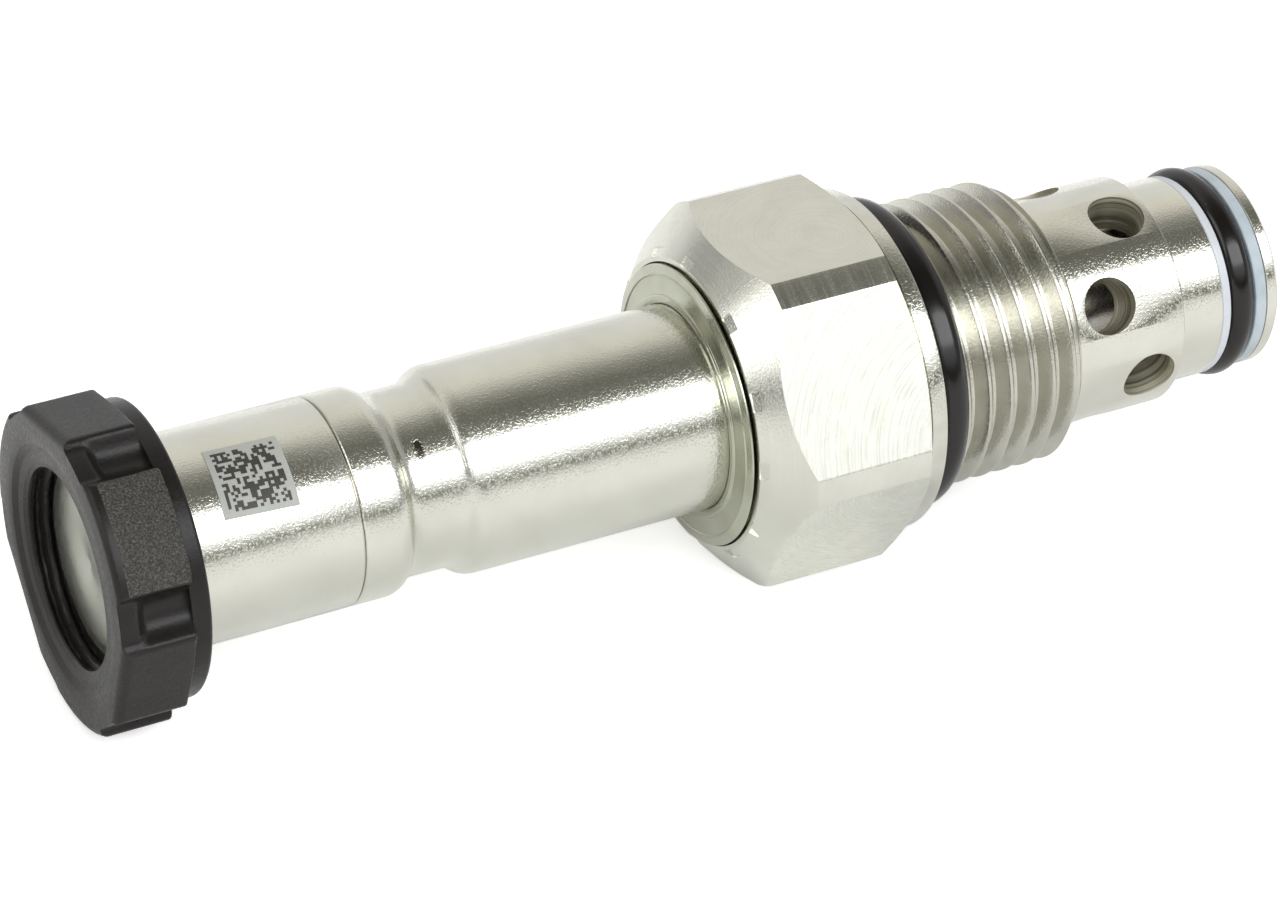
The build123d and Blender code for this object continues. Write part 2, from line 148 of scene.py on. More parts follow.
def join(name: str, patches: list[np.ndarray]) -> Thing:
    """Joins grids of points to one mesh; they meet where their points are the same.

    Args:
        name: the object's name.
        patches: grids of points in metres, each of shape rows, columns, 3.

    Returns:
        The mesh object, with its faces turned outwards.
    """
    points, faces, first = [], [], 0
    for grid in patches:
        rows, columns = grid.shape[:2]
        i, j = np.meshgrid(np.arange(rows - 1), np.arange(columns - 1), indexing="ij")
        corner = first + i * columns + j
        quads = np.stack([corner, corner + 1, corner + columns + 1, corner + columns], axis=2)
        points.append(grid.reshape(-1, 3))
        faces.append(quads.reshape(-1, 4))
        first += rows * columns
    mesh = bpy.data.meshes.new(name)
    mesh.from_pydata(np.concatenate(points).tolist(), [], np.concatenate(faces).tolist())
    return settle(name, mesh)


def skin(name: str, rows: Rows, angles: np.ndarray, closed: bool = True) -> Thing:
    """Makes a mesh from rows wrapped round the axis; see wrapped."""
    return join(name, [wrapped(rows, angles, closed)])


def settle(name: str, mesh: bpy.types.Mesh) -> Thing:
    """Merges a mesh's doubles, turns its faces outwards, smooths it and puts it in the scene.

    Args:
        name: the object's name.
        mesh: the finished mesh.

    Returns:
        The object, at the origin.
    """
    work = bmesh.new()
    work.from_mesh(mesh)
    bmesh.ops.remove_doubles(work, verts=work.verts, dist=1e-7)
    bmesh.ops.dissolve_degenerate(work, edges=work.edges, dist=1e-8)
    bmesh.ops.recalc_face_normals(work, faces=work.faces)
    work.to_mesh(mesh)
    work.free()
    mesh.shade_smooth()
    mesh.set_sharp_from_angle(angle=math.radians(SHARP_DEG))
    made = bpy.data.objects.new(name, mesh)
    bpy.context.scene.collection.objects.link(made)
    return made


def lathe(name: str, outline: Rows, steps: int = 256) -> Thing:
    """Turns a closed outline of (x, r) or (x, r, corner radius) points round the axis."""
    return skin(name, soften(outline), around(steps))


def thread_cut(x: float, pitch: float, angles: np.ndarray, start: float = 0.0) -> np.ndarray:
    """Works out how deep a right-handed thread is cut at each angle.

    Args:
        x: place on the axis in millimetres.
        pitch: the thread's pitch in millimetres.
        angles: the columns' angles.
        start: share of a turn by which the thread is turned on.

    Returns:
        0 on the crest and 1 on the root, for each angle.
    """
    phase = np.mod(x / pitch - (math.pi - angles) / math.tau + start, 1.0)
    return np.clip((np.abs(phase - 0.5) * 2 - 0.15) / 0.65, 0.0, 1.0)


def plain_copy(made: Thing) -> None:
    """Applies an object's modifiers by taking its evaluated mesh, and removes them.

    Args:
        made: the object.
    """
    graph = bpy.context.evaluated_depsgraph_get()
    mesh = bpy.data.meshes.new_from_object(made.evaluated_get(graph), depsgraph=graph)
    made.modifiers.clear()
    made.data = mesh


def break_edges(made: Thing, width_mm: float, number: int | None = None) -> None:
    """Rounds the edges where two finishes meet a little.

    Args:
        made: the object.
        width_mm: how much of each face goes.
        number: takes only edges beside this material's number, or every such edge if None.
    """
    work = bmesh.new()
    work.from_mesh(made.data)
    weight = work.edges.layers.float.new("bevel_weight_edge")
    for edge in work.edges:
        sides = {face.material_index for face in edge.link_faces}
        if len(sides) > 1 and (number is None or number in sides):
            edge[weight] = 1.0
    work.to_mesh(made.data)
    work.free()
    bevel = made.modifiers.new("edge_break", "BEVEL")
    bevel.limit_method = "WEIGHT"
    bevel.width = width_mm * MM
    bevel.segments = 2
    bevel.use_clamp_overlap = True
    plain_copy(made)


def dress(made: Thing, *materials: Material) -> Thing:
    """Gives an object its materials.

    Args:
        made: the object.
        materials: its materials, in the order of its faces' material numbers.

    Returns:
        The same object.
    """
    made.data.materials.clear()
    for material in materials:
        made.data.materials.append(material)
    return made


def finish_piece(made: Thing, body: str, slot: str, *nodes: str) -> Thing:
    """Hands a finished piece to the frame.

    Args:
        made: the piece.
        body: the CAD body it moves with.
        slot: the record's material slot; not used.
        nodes: the CAD nodes that it stands for.

    Returns:
        The same piece.
    """
    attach(made, body)
    if nodes:
        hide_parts(*nodes)
    log.info("%s rides on %s, %d faces", made.name, body, len(made.data.polygons))
    return made


# Small tools for node trees

def add(tree: NodeTree, kind: str, inputs: dict | None = None,
        **settings: object) -> bpy.types.Node:
    """Adds a node with its settings and links.

    Args:
        tree: the node tree.
        kind: the node's type name.
        inputs: input name or number, to a value or to another node's output.
        settings: the node's own properties.

    Returns:
        The node.
    """
    node = tree.nodes.new(kind)
    for key, value in settings.items():
        setattr(node, key, value)
    for key, value in (inputs or {}).items():
        if isinstance(value, Socket):
            tree.links.new(value, node.inputs[key])
        else:
            node.inputs[key].default_value = value
    return node


def colour(code: str) -> tuple[float, float, float, float]:
    """Turns an sRGB hex value to linear colour.

    Args:
        code: the value, such as #8A8A80.

    Returns:
        Red, green, blue and an alpha of 1.
    """
    parts = [int(code[k:k + 2], 16) / 255 for k in (1, 3, 5)]
    linear = [c / 12.92 if c <= 0.04045 else ((c + 0.055) / 1.055) ** 2.4 for c in parts]
    return (*linear, 1.0)


def blank_material(name: str) -> tuple[NodeTree, bpy.types.Node, Material]:
    """A new material with its Principled shader.

    Args:
        name: the material's name.

    Returns:
        Its node tree, the shader node and the material.
    """
    material = bpy.data.materials.new(name)
    material.use_nodes = True
    tree = material.node_tree
    return tree, tree.nodes["Principled BSDF"], material


@dataclass(frozen=True)
class Axial:
    """Sockets that say where a shaded point lies, in millimetres and radians."""

    place: Socket
    x: Socket
    r: Socket
    turn: Socket


def axial(tree: NodeTree) -> Axial:
    """Adds nodes that work out a point's place on the valve's axis and round it.

    Args:
        tree: the material's node tree.

    Returns:
        The point in millimetres, its x, its radius and its angle round the axis.
    """
    source = add(tree, "ShaderNodeTexCoord")
    place = add(tree, "ShaderNodeVectorMath", {0: source.outputs["Object"], "Scale": 1 / MM},
                operation="SCALE")
    parts = add(tree, "ShaderNodeSeparateXYZ", {0: place.outputs[0]})
    flat = add(tree, "ShaderNodeCombineXYZ", {"Y": parts.outputs["Y"], "Z": parts.outputs["Z"]})
    radius = add(tree, "ShaderNodeVectorMath", {0: flat.outputs[0]}, operation="LENGTH")
    turn = add(tree, "ShaderNodeMath", {0: parts.outputs["Z"], 1: parts.outputs["Y"]},
               operation="ARCTAN2")
    return Axial(place.outputs[0], parts.outputs["X"], radius.outputs["Value"], turn.outputs[0])


def ranged(tree: NodeTree, value: Socket, low: float, high: float,
           to_low: float, to_high: float, smooth: bool = False) -> Socket:
    """Maps a value from one range to another, clamped, with soft ends if smooth is True."""
    kind = "SMOOTHSTEP" if smooth else "LINEAR"
    return add(tree, "ShaderNodeMapRange", {"Value": value, 1: low, 2: high, 3: to_low, 4: to_high},
               interpolation_type=kind).outputs[0]


def maths(tree: NodeTree, operation: str, first: Socket | float,
          second: Socket | float = 0.0) -> Socket:
    """One Math node; first and second are sockets or numbers."""
    return add(tree, "ShaderNodeMath", {0: first, 1: second}, operation=operation).outputs[0]


def apart(tree: NodeTree, value: Socket, place: float) -> Socket:
    """How far a value is from a number."""
    return maths(tree, "ABSOLUTE", maths(tree, "SUBTRACT", value, place))


def blend(tree: NodeTree, factor: Socket, first: Socket | tuple | list,
          second: Socket | tuple | list) -> Socket:
    """Mixes two colours, each a socket or a linear colour."""
    node = add(tree, "ShaderNodeMix", {0: factor, 6: first, 7: second}, data_type="RGBA")
    return node.outputs[2]


def noise(tree: NodeTree, place: Socket, size_mm: float,
          detail: float = 2.0) -> Socket:
    """Noise whose features are about size_mm wide, from 0 to 1."""
    node = add(tree, "ShaderNodeTexNoise", {
        "Vector": place, "Scale": 1 / size_mm, "Detail": detail, "Roughness": NOISE_ROUGHNESS})
    return node.outputs["Fac"]


# Finishes

def connect(tree: NodeTree, shader: bpy.types.Node, tint: Socket, rough: Socket,
            height: Socket | None, uniform: dict[str, float | tuple]) -> None:
    """Joins a finish's nodes to its shader.

    Args:
        tree: the material's node tree.
        shader: the tree's shader.
        tint: the colour.
        rough: the roughness.
        height: the relief in millimetres, or None.
        uniform: values of the shader's own sockets, which are the same all over.
    """
    tree.links.new(tint, shader.inputs["Base Color"])
    tree.links.new(rough, shader.inputs["Roughness"])
    if height is not None:
        bump = add(tree, "ShaderNodeBump", {"Strength": 1.0, "Distance": MM, "Height": height})
        tree.links.new(bump.outputs[0], shader.inputs["Normal"])
    for name, value in uniform.items():
        shader.inputs[name].default_value = value


@dataclass(frozen=True)
class Stain:
    """A small mark at a place on a piece: its centre on X, its elevation, radius and half sizes."""

    x: float
    elevation: float
    radius: float
    along: float
    across: float
    code: str


@dataclass(frozen=True)
class TurnedSteel:
    """Steel turned on a lathe and plated: rings from the tool, under the plating's fine grain.

    The rings follow the axis on every face. The grain is sparse raised grains, which break the edges
    of each reflection so that they look sandy. The real grain is finer than the render's pixels, and
    is drawn coarser.
    """

    name: str
    code: str = "#D7D7CD"
    roughness: float = 0.24
    ring_mm: float = 0.14
    ring_depth_mm: float = 0.0012
    ring_tint: float = 0.0
    grain_mm: float = 0.14
    grain_depth_mm: float = 0.0030
    ring_gloss: float = 0.05
    across_lathe: bool = False
    streaks: tuple[tuple[float, float], ...] = ()
    streak_depth_mm: float = 0.0022
    # radius and half width of a ring of painted shade, where a crease would lie in shadow
    crevice_shade: tuple[float, float] | None = None
    anisotropy: float = 0.0
    dirt_code: str = "#6E675A"
    dirt: float = 0.10
    stains: tuple[Stain, ...] = ()
    seams: tuple[tuple[float, float], ...] = ()
    seam_code: str = "#A39D8A"

    def build(self) -> Material:
        """Makes the material.

        Returns:
            The material, with its nodes.
        """
        tree, shader, material = blank_material(self.name)
        at = axial(tree)
        lane = add(tree, "ShaderNodeCombineXYZ", {
            "X": 0.0 if self.across_lathe else at.x, "Y": at.r,
            "Z": maths(tree, "MULTIPLY", at.turn, 0.25)})
        rings = noise(tree, lane.outputs[0], self.ring_mm, 3.0)
        grain = noise(tree, at.place, self.grain_mm, 2.0)
        clouds = noise(tree, at.place, 3.5, 3.0)
        cut = self.ring_depth_mm
        for start, end in self.streaks:
            near = apart(tree, at.x, (start + end) / 2)
            half = (end - start) / 2
            cut = maths(tree, "ADD", cut,
                        ranged(tree, near, half * 0.6, half, self.streak_depth_mm, 0.0))
        grains = ranged(tree, grain, 0.50, 0.76, 0.0, self.grain_depth_mm)
        height = maths(tree, "ADD", maths(tree, "MULTIPLY", rings, cut), grains)
        worn = ranged(tree, clouds, 0.35, 0.7, 0.0, self.dirt)
        tint = blend(tree, worn, colour(self.code), colour(self.dirt_code))
        if self.ring_tint:
            tint = blend(tree, ranged(tree, rings, 0.38, 0.58, self.ring_tint, 0.0), tint,
                         colour(self.dirt_code))
        # painted shade: colour darkened in a ring round one radius, standing in for the shadow in a
        # crease
        if self.crevice_shade:
            place, half = self.crevice_shade
            near = apart(tree, at.r, place)
            tint = blend(tree, ranged(tree, near, half * 0.5, half, 0.85, 0.0, smooth=True), tint,
                         colour("#4A4A3E"))
        rough = maths(tree, "ADD", ranged(tree, rings, *MIDDLE, -self.ring_gloss, self.ring_gloss),
                      ranged(tree, grain, *MIDDLE, self.roughness - 0.02, self.roughness + 0.02))
        for stain in self.stains:
            mask = self.stain_mask(tree, at, stain)
            tint = blend(tree, mask, tint, colour(stain.code))
            height = maths(tree, "SUBTRACT", height, maths(tree, "MULTIPLY", mask, 0.02))
        for place, half in self.seams:
            near = apart(tree, at.x, place)
            tint = blend(tree, ranged(tree, near, half * 0.4, half, 0.8, 0.0), tint,
                         colour(self.seam_code))
        connect(tree, shader, tint, rough, height, {"Metallic": 1.0})
        if self.anisotropy:
            shader.inputs["Anisotropic"].default_value = self.anisotropy
            tangent = add(tree, "ShaderNodeTangent", direction_type="RADIAL", axis="X")
            tree.links.new(tangent.outputs[0], shader.inputs["Tangent"])
        return material

    def stain_mask(self, tree: NodeTree, at: Axial, stain: Stain) -> Socket:
        """A soft, ragged oval mask.

        Args:
            tree: the material's node tree.
            at: the shaded point's place.
            stain: where the mark is.

        Returns:
            Nearly 1 in the mark's middle and 0 outside it.
        """
        turned = math.radians(stain.elevation)
        y, z = -math.cos(turned), math.sin(turned)
        middle = (stain.x, stain.radius * y, stain.radius * z)
        away = add(tree, "ShaderNodeVectorMath", {0: at.place, 1: middle}, operation="SUBTRACT")
        squeezed = add(tree, "ShaderNodeVectorMath", {
            0: away.outputs[0], 1: (1 / stain.along, 1 / stain.across, 1 / stain.across)},
            operation="MULTIPLY")
        length = add(tree, "ShaderNodeVectorMath", {0: squeezed.outputs[0]}, operation="LENGTH")
        ragged = maths(tree, "ADD", length.outputs["Value"],
                       ranged(tree, noise(tree, at.place, 0.25), *MIDDLE, -0.14, 0.14))
        return ranged(tree, ragged, 0.55, 1.0, 0.92, 0.0, smooth=True)


@dataclass(frozen=True)
class MilledSteel:
    """A face-milled flat under plating: the cutter's arcs, which catch the light all over it."""

    name: str = "face_milled_plated_steel"
    code: str = "#D9D9CF"
    roughness: float = 0.24
    arc_mm: float = 0.15
    arc_depth_mm: float = 0.0046
    grain_mm: float = 0.10
    layer: str = "mill"

    def build(self) -> Material:
        """Makes the material; the arcs follow the piece's own UV layer, in millimetres.

        Returns:
            The material, with its nodes.
        """
        tree, shader, material = blank_material(self.name)
        at = axial(tree)
        local = add(tree, "ShaderNodeUVMap", uv_map=self.layer)
        radius = add(tree, "ShaderNodeVectorMath", {0: local.outputs[0]}, operation="LENGTH")
        wobble = noise(tree, at.place, 1.6, 1.0)
        lane = add(tree, "ShaderNodeCombineXYZ", {
            "X": maths(tree, "ADD", radius.outputs["Value"], maths(tree, "MULTIPLY", wobble, 0.12)),
            "Y": maths(tree, "MULTIPLY", wobble, 0.3)})
        arcs = noise(tree, lane.outputs[0], self.arc_mm, 3.0)
        grain = noise(tree, at.place, self.grain_mm, 2.0)
        clouds = noise(tree, at.place, 2.2, 3.0)
        height = maths(tree, "ADD", maths(tree, "MULTIPLY", arcs, self.arc_depth_mm),
                       maths(tree, "MULTIPLY", grain, 0.0008))
        tint = blend(tree, ranged(tree, clouds, 0.35, 0.7, 0.0, 0.10), colour(self.code),
                     colour("#8C877A"))
        tint = blend(tree, ranged(tree, arcs, *MIDDLE, 0.14, 0.0), tint, colour("#6E6C60"))
        rough = ranged(tree, arcs, *MIDDLE, self.roughness - 0.06, self.roughness + 0.08)
        connect(tree, shader, tint, rough, height, {"Metallic": 1.0})
        return material


@dataclass(frozen=True)
class Rubber:
    """Nitrile rubber, moulded smooth and wiped with oil: black, with a clear narrow highlight."""

    name: str = "oiled_nitrile_rubber"
    code: str = "#100C0B"
    roughness: float = 0.11

    def build(self) -> Material:
        """Makes the material.

        Returns:
            The material, with its nodes.
        """
        tree, shader, material = blank_material(self.name)
        at = axial(tree)
        fine = noise(tree, at.place, 0.12, 3.0)
        dust = ranged(tree, noise(tree, at.place, 0.30, 3.0), 0.70, 0.76, 0.0, 0.45)
        tint = blend(tree, dust, colour(self.code), colour("#4A4642"))
        rough = ranged(tree, noise(tree, at.place, 1.5), *MIDDLE, self.roughness - 0.04,
                       self.roughness + 0.07)
        connect(tree, shader, tint, rough, maths(tree, "MULTIPLY", fine, 0.002),
                {"Specular IOR Level": 0.46})
        return material


@dataclass(frozen=True)
class BackupPlastic:
    """Fluoropolymer backup ring, skived from tube: waxy, blue-grey and a little translucent."""

    name: str = "skived_fluoropolymer"
    code: str = "#A0ADB3"
    roughness: float = 0.38

    def build(self) -> Material:
        """Makes the material.

        Returns:
            The material, with its nodes.
        """
        tree, shader, material = blank_material(self.name)
        at = axial(tree)
        clouds = noise(tree, at.place, 1.8, 2.0)
        fine = noise(tree, at.place, 0.15, 2.0)
        tint = blend(tree, ranged(tree, clouds, 0.35, 0.65, 0.0, 0.4), colour(self.code),
                     colour("#C9CDD2"))
        rough = ranged(tree, fine, *MIDDLE, self.roughness - 0.05, self.roughness + 0.08)
        connect(tree, shader, tint, rough, maths(tree, "MULTIPLY", fine, 0.002), {
            "Subsurface Weight": 0.25, "Subsurface Radius": (0.6, 0.8, 1.0),
            "Subsurface Scale": 0.4 * MM})
        return material


class Surface(Enum):
    """How a face of the moulded nut came out of its mould."""

    PLAIN = 0
    GRAINED = 1


@dataclass(frozen=True)
class Nylon:
    """Black glass-filled nylon, injection moulded: satin where the tool was smooth, spark-eroded
    grain on three of the pads, whose raised points catch the light."""

    surface: Surface
    code: str = "#191615"

    def build(self) -> Material:
        """Makes the material for one surface.

        Returns:
            The material, with its nodes.
        """
        grained = self.surface is Surface.GRAINED
        tree, shader, material = blank_material("grained_nylon" if grained else "satin_nylon")
        at = axial(tree)
        pits = noise(tree, at.place, 0.115 if grained else 0.22, 3.0)
        clouds = noise(tree, at.place, 2.5, 2.0)
        depth, gloss, level = (0.11, 0.34, 0.45) if grained else (0.014, 0.32, 0.28)
        tint = blend(tree, ranged(tree, clouds, 0.35, 0.65, 0.0, 0.3), colour(self.code),
                     colour("#262320"))
        # painted highlight: the grain's raised points are tinted pale where they would glint
        if grained:
            tint = blend(tree, ranged(tree, pits, 0.44, 0.66, 0.0, 0.55), tint, colour("#6A665C"))
        rough = ranged(tree, pits, *MIDDLE, gloss - 0.06, gloss + 0.08)
        connect(tree, shader, tint, rough, maths(tree, "MULTIPLY", pits, depth),
                {"Specular IOR Level": level})
        return material


@dataclass(frozen=True)
class PrintedFilm:
    """A matt printed film, stuck on the core's head: flat grey or near black."""

    name: str
    code: str

    def build(self) -> Material:
        """Makes the material.

        Returns:
            The material, with its nodes.
        """
        tree, shader, material = blank_material(self.name)
        at = axial(tree)
        fine = noise(tree, at.place, 0.10, 2.0)
        tint = blend(tree, ranged(tree, fine, *MIDDLE, 0.0, 0.15), colour(self.code),
                     colour("#6B6B66"))
        connect(tree, shader, tint, ranged(tree, fine, *MIDDLE, 0.42, 0.55), None, {})
        return material


def once(finish: TurnedSteel | MilledSteel | Rubber | BackupPlastic | Nylon | PrintedFilm
         ) -> Material:
    """A field of Finishes that makes this finish when Finishes is made."""
    return field(default_factory=finish.build)


@dataclass(frozen=True)
class Finishes:
    """Every finish of the valve, made once."""

    # clear zinc over turning rings: cool grey, with reflections drawn out round the axis, and a thin
    # ring of painted shade on the pocket's wall round the collar
    body: Material = once(TurnedSteel(
        "turned_zinc_plated_steel", roughness=0.21, ring_mm=0.16, ring_depth_mm=0.0045,
        grain_depth_mm=0.0045, anisotropy=0.25, crevice_shade=(8.54, 0.04)))
    # clear zinc over the cutter's arcs: one even flash over the whole flat
    flats: Material = once(MilledSteel())
    # rolled smooth before plating: sharp reflections with sandy edges
    flange: Material = once(TurnedSteel(
        "burnished_plated_flange", roughness=0.10, ring_mm=0.12, ring_depth_mm=0.0006,
        ring_gloss=0.02, grain_depth_mm=0.0085, dirt=0.30))
    # cut flanks under zinc: dull olive grey between bright crests
    thread: Material = once(TurnedSteel(
        "cut_plated_thread", code="#CCCBC1", roughness=0.21, ring_mm=0.10, ring_depth_mm=0.0020,
        grain_depth_mm=0.0070, dirt=0.25))
    # pressed and plated: soft olive bands with thin bright ridges
    collar: Material = once(TurnedSteel(
        "pressed_plated_collar", code="#B9BBAA", roughness=0.18, ring_mm=0.14, ring_depth_mm=0.0012,
        grain_depth_mm=0.0045, dirt=0.25))
    # fine turned and bright plated: near mirror, sandy where light meets dark
    cage: Material = once(TurnedSteel(
        "bright_plated_cage", code="#D9D8CE", roughness=0.12, ring_mm=0.10, ring_depth_mm=0.0004,
        ring_gloss=0.02, grain_depth_mm=0.0070))
    # drill marks under thin plating: dull, with coarse rings along the hole
    hole: Material = once(TurnedSteel(
        "drilled_plated_wall", code="#D8D6C2", roughness=0.52, ring_mm=0.32, ring_depth_mm=0.040,
        ring_tint=0.75, across_lathe=True, dirt=0.10))
    # drawn stainless tube: satin lengthwise, with rings where the neck was rolled
    tube: Material = once(TurnedSteel(
        "satin_drawn_tube", roughness=0.17, ring_mm=0.10, ring_depth_mm=0.0002, ring_gloss=0.008,
        grain_depth_mm=0.0068, streak_depth_mm=0.012,
        streaks=((-36.6, -35.3), (-34.9, -34.1), (-33.8, -33.3), (-30.0, -28.9)),
        stains=(Stain(-31.8, 53.5, 5.68, 0.44, 0.80, "#A9A498"),
                Stain(-31.8, 53.5, 5.68, 0.32, 0.60, "#5C5A52")),
        seams=((-36.58, 0.09),)))
    # sawn and blasted end: an even frosted grey
    stud: Material = once(TurnedSteel(
        "frosted_stud_end", code="#C0C2B7", roughness=0.36, ring_mm=0.30, ring_depth_mm=0.0010,
        grain_depth_mm=0.0120))
    # hardened and ground: dark, quiet steel behind the ports
    ground: Material = once(TurnedSteel(
        "ground_hardened_steel", code="#A5A19C", roughness=0.28, ring_mm=0.06,
        ring_depth_mm=0.0003, ring_gloss=0.01, dirt=0.05))
    # drawn spring wire: dark and satin
    wire: Material = once(TurnedSteel(
        "drawn_spring_wire", code="#9C9A94", roughness=0.3, ring_mm=0.2))
    # rolled brass sheet: warm yellow
    shim: Material = once(TurnedSteel(
        "rolled_brass_sheet", code="#C8A860", roughness=0.3, dirt=0.05))
    # moulded nitrile with an oil film: black with one clear streak
    rubber: Material = once(Rubber())
    # skived fluoropolymer: waxy blue-grey
    backup: Material = once(BackupPlastic())
    # the same plastic, skived thinner: nearly white
    backup_pale: Material = once(BackupPlastic(
        "skived_fluoropolymer_pale", "#C2C6CB"))
    # glass-filled nylon from a smooth tool: satin black
    nylon: Material = once(Nylon(Surface.PLAIN))
    # the same nylon from a spark-eroded tool: dull, with pale points painted on its raised grain as
    # highlights
    grain: Material = once(Nylon(Surface.GRAINED))
    # matt printed film: flat light grey
    label: Material = once(PrintedFilm("grey_label_film", "#A6A8A2"))
    # matt ink on the film: nearly black
    ink: Material = once(PrintedFilm("dark_label_ink", "#2E2B27"))


# Geometry node trees for what repeats

@dataclass
class Tree:
    """A geometry node tree with named inputs, run on an empty mesh."""

    name: str
    tree: NodeTree = field(init=False)
    source: bpy.types.Node = field(init=False)
    values: dict[str, int | float | Material] = field(default_factory=dict)

    def __post_init__(self) -> None:
        """Makes the empty tree."""
        self.tree = bpy.data.node_groups.new(self.name, "GeometryNodeTree")
        self.tree.interface.new_socket("Geometry", in_out="OUTPUT",
                                       socket_type="NodeSocketGeometry")
        self.source = self.tree.nodes.new("NodeGroupInput")

    def size(self, name: str, value: int | float | Material) -> Socket:
        """Adds a named input, whose kind follows its value.

        Args:
            name: the input's name.
            value: what it gets.

        Returns:
            Its socket inside the tree.
        """
        kinds = {int: "NodeSocketInt", float: "NodeSocketFloat", Material: "NodeSocketMaterial"}
        socket = self.tree.interface.new_socket(name, in_out="INPUT",
                                                socket_type=kinds[type(value)])
        self.values[socket.identifier] = value
        return self.source.outputs[name]

    def run(self, name: str, result: Socket) -> Thing:
        """Realizes the result, and keeps it as a plain mesh object.

        Args:
            name: the new object's name.
            result: the geometry socket to keep.

        Returns:
            The object, with no modifier left on it.
        """
        whole = add(self.tree, "GeometryNodeRealizeInstances", {0: result})
        out = self.tree.nodes.new("NodeGroupOutput")
        self.tree.links.new(whole.outputs[0], out.inputs[0])
        made = bpy.data.objects.new(name, bpy.data.meshes.new(name))
        bpy.context.scene.collection.objects.link(made)
        modifier = made.modifiers.new(self.name, "NODES")
        modifier.node_group = self.tree
        for identifier, value in self.values.items():
            modifier[identifier] = value
        plain_copy(made)
        return made


def drills(name: str, count: int, first_deg: float, x_mm: float, diameter_mm: float,
           reach_mm: float, wall: Material) -> Thing:
    """Radial drills, set evenly round the axis by a node tree.

    Args:
        name: the object's name.
        count: how many drills.
        first_deg: elevation of the first.
        x_mm: their place on the axis.
        diameter_mm: the holes' diameter.
        reach_mm: how far out each drill starts; it ends at the axis.
        wall: material of the walls that they leave.

    Returns:
        One mesh of all the drills.
    """
    made = Tree(name)
    tree = made.tree
    number = made.size("Count", count)
    start = made.size("First angle", math.radians(first_deg))
    place = made.size("Place on axis", x_mm * MM)
    radius = made.size("Drill radius", diameter_mm / 2 * MM)
    reach = made.size("Reach", reach_mm * MM)
    finish = made.size("Wall finish", wall)
    drill = add(tree, "GeometryNodeMeshCylinder",
                {"Vertices": 96, "Radius": radius, "Depth": reach})
    shift = add(tree, "ShaderNodeCombineXYZ", {"Z": maths(tree, "MULTIPLY", reach, 0.5)})
    moved = add(tree, "GeometryNodeTransform",
                {0: drill.outputs[0], "Translation": shift.outputs[0]})
    spot = add(tree, "ShaderNodeCombineXYZ", {"X": place})
    points = add(tree, "GeometryNodePoints", {"Count": number, "Position": spot.outputs[0]})
    index = tree.nodes.new("GeometryNodeInputIndex")
    pitch = maths(tree, "DIVIDE", math.tau, number)
    elevation = maths(tree, "ADD", start, maths(tree, "MULTIPLY", index.outputs[0], pitch))
    upright = maths(tree, "SUBTRACT", math.pi / 2, elevation)
    lean = add(tree, "ShaderNodeCombineXYZ", {"X": upright})
    turned = add(tree, "FunctionNodeEulerToRotation", {0: lean.outputs[0]})
    set_out = add(tree, "GeometryNodeInstanceOnPoints", {
        "Points": points.outputs[0], "Instance": moved.outputs[0], "Rotation": turned.outputs[0]})
    whole = add(tree, "GeometryNodeRealizeInstances", {0: set_out.outputs[0]})
    dressed = add(tree, "GeometryNodeSetMaterial", {0: whole.outputs[0], "Material": finish})
    return made.run(name, dressed.outputs[0])


# Sub-assemblies

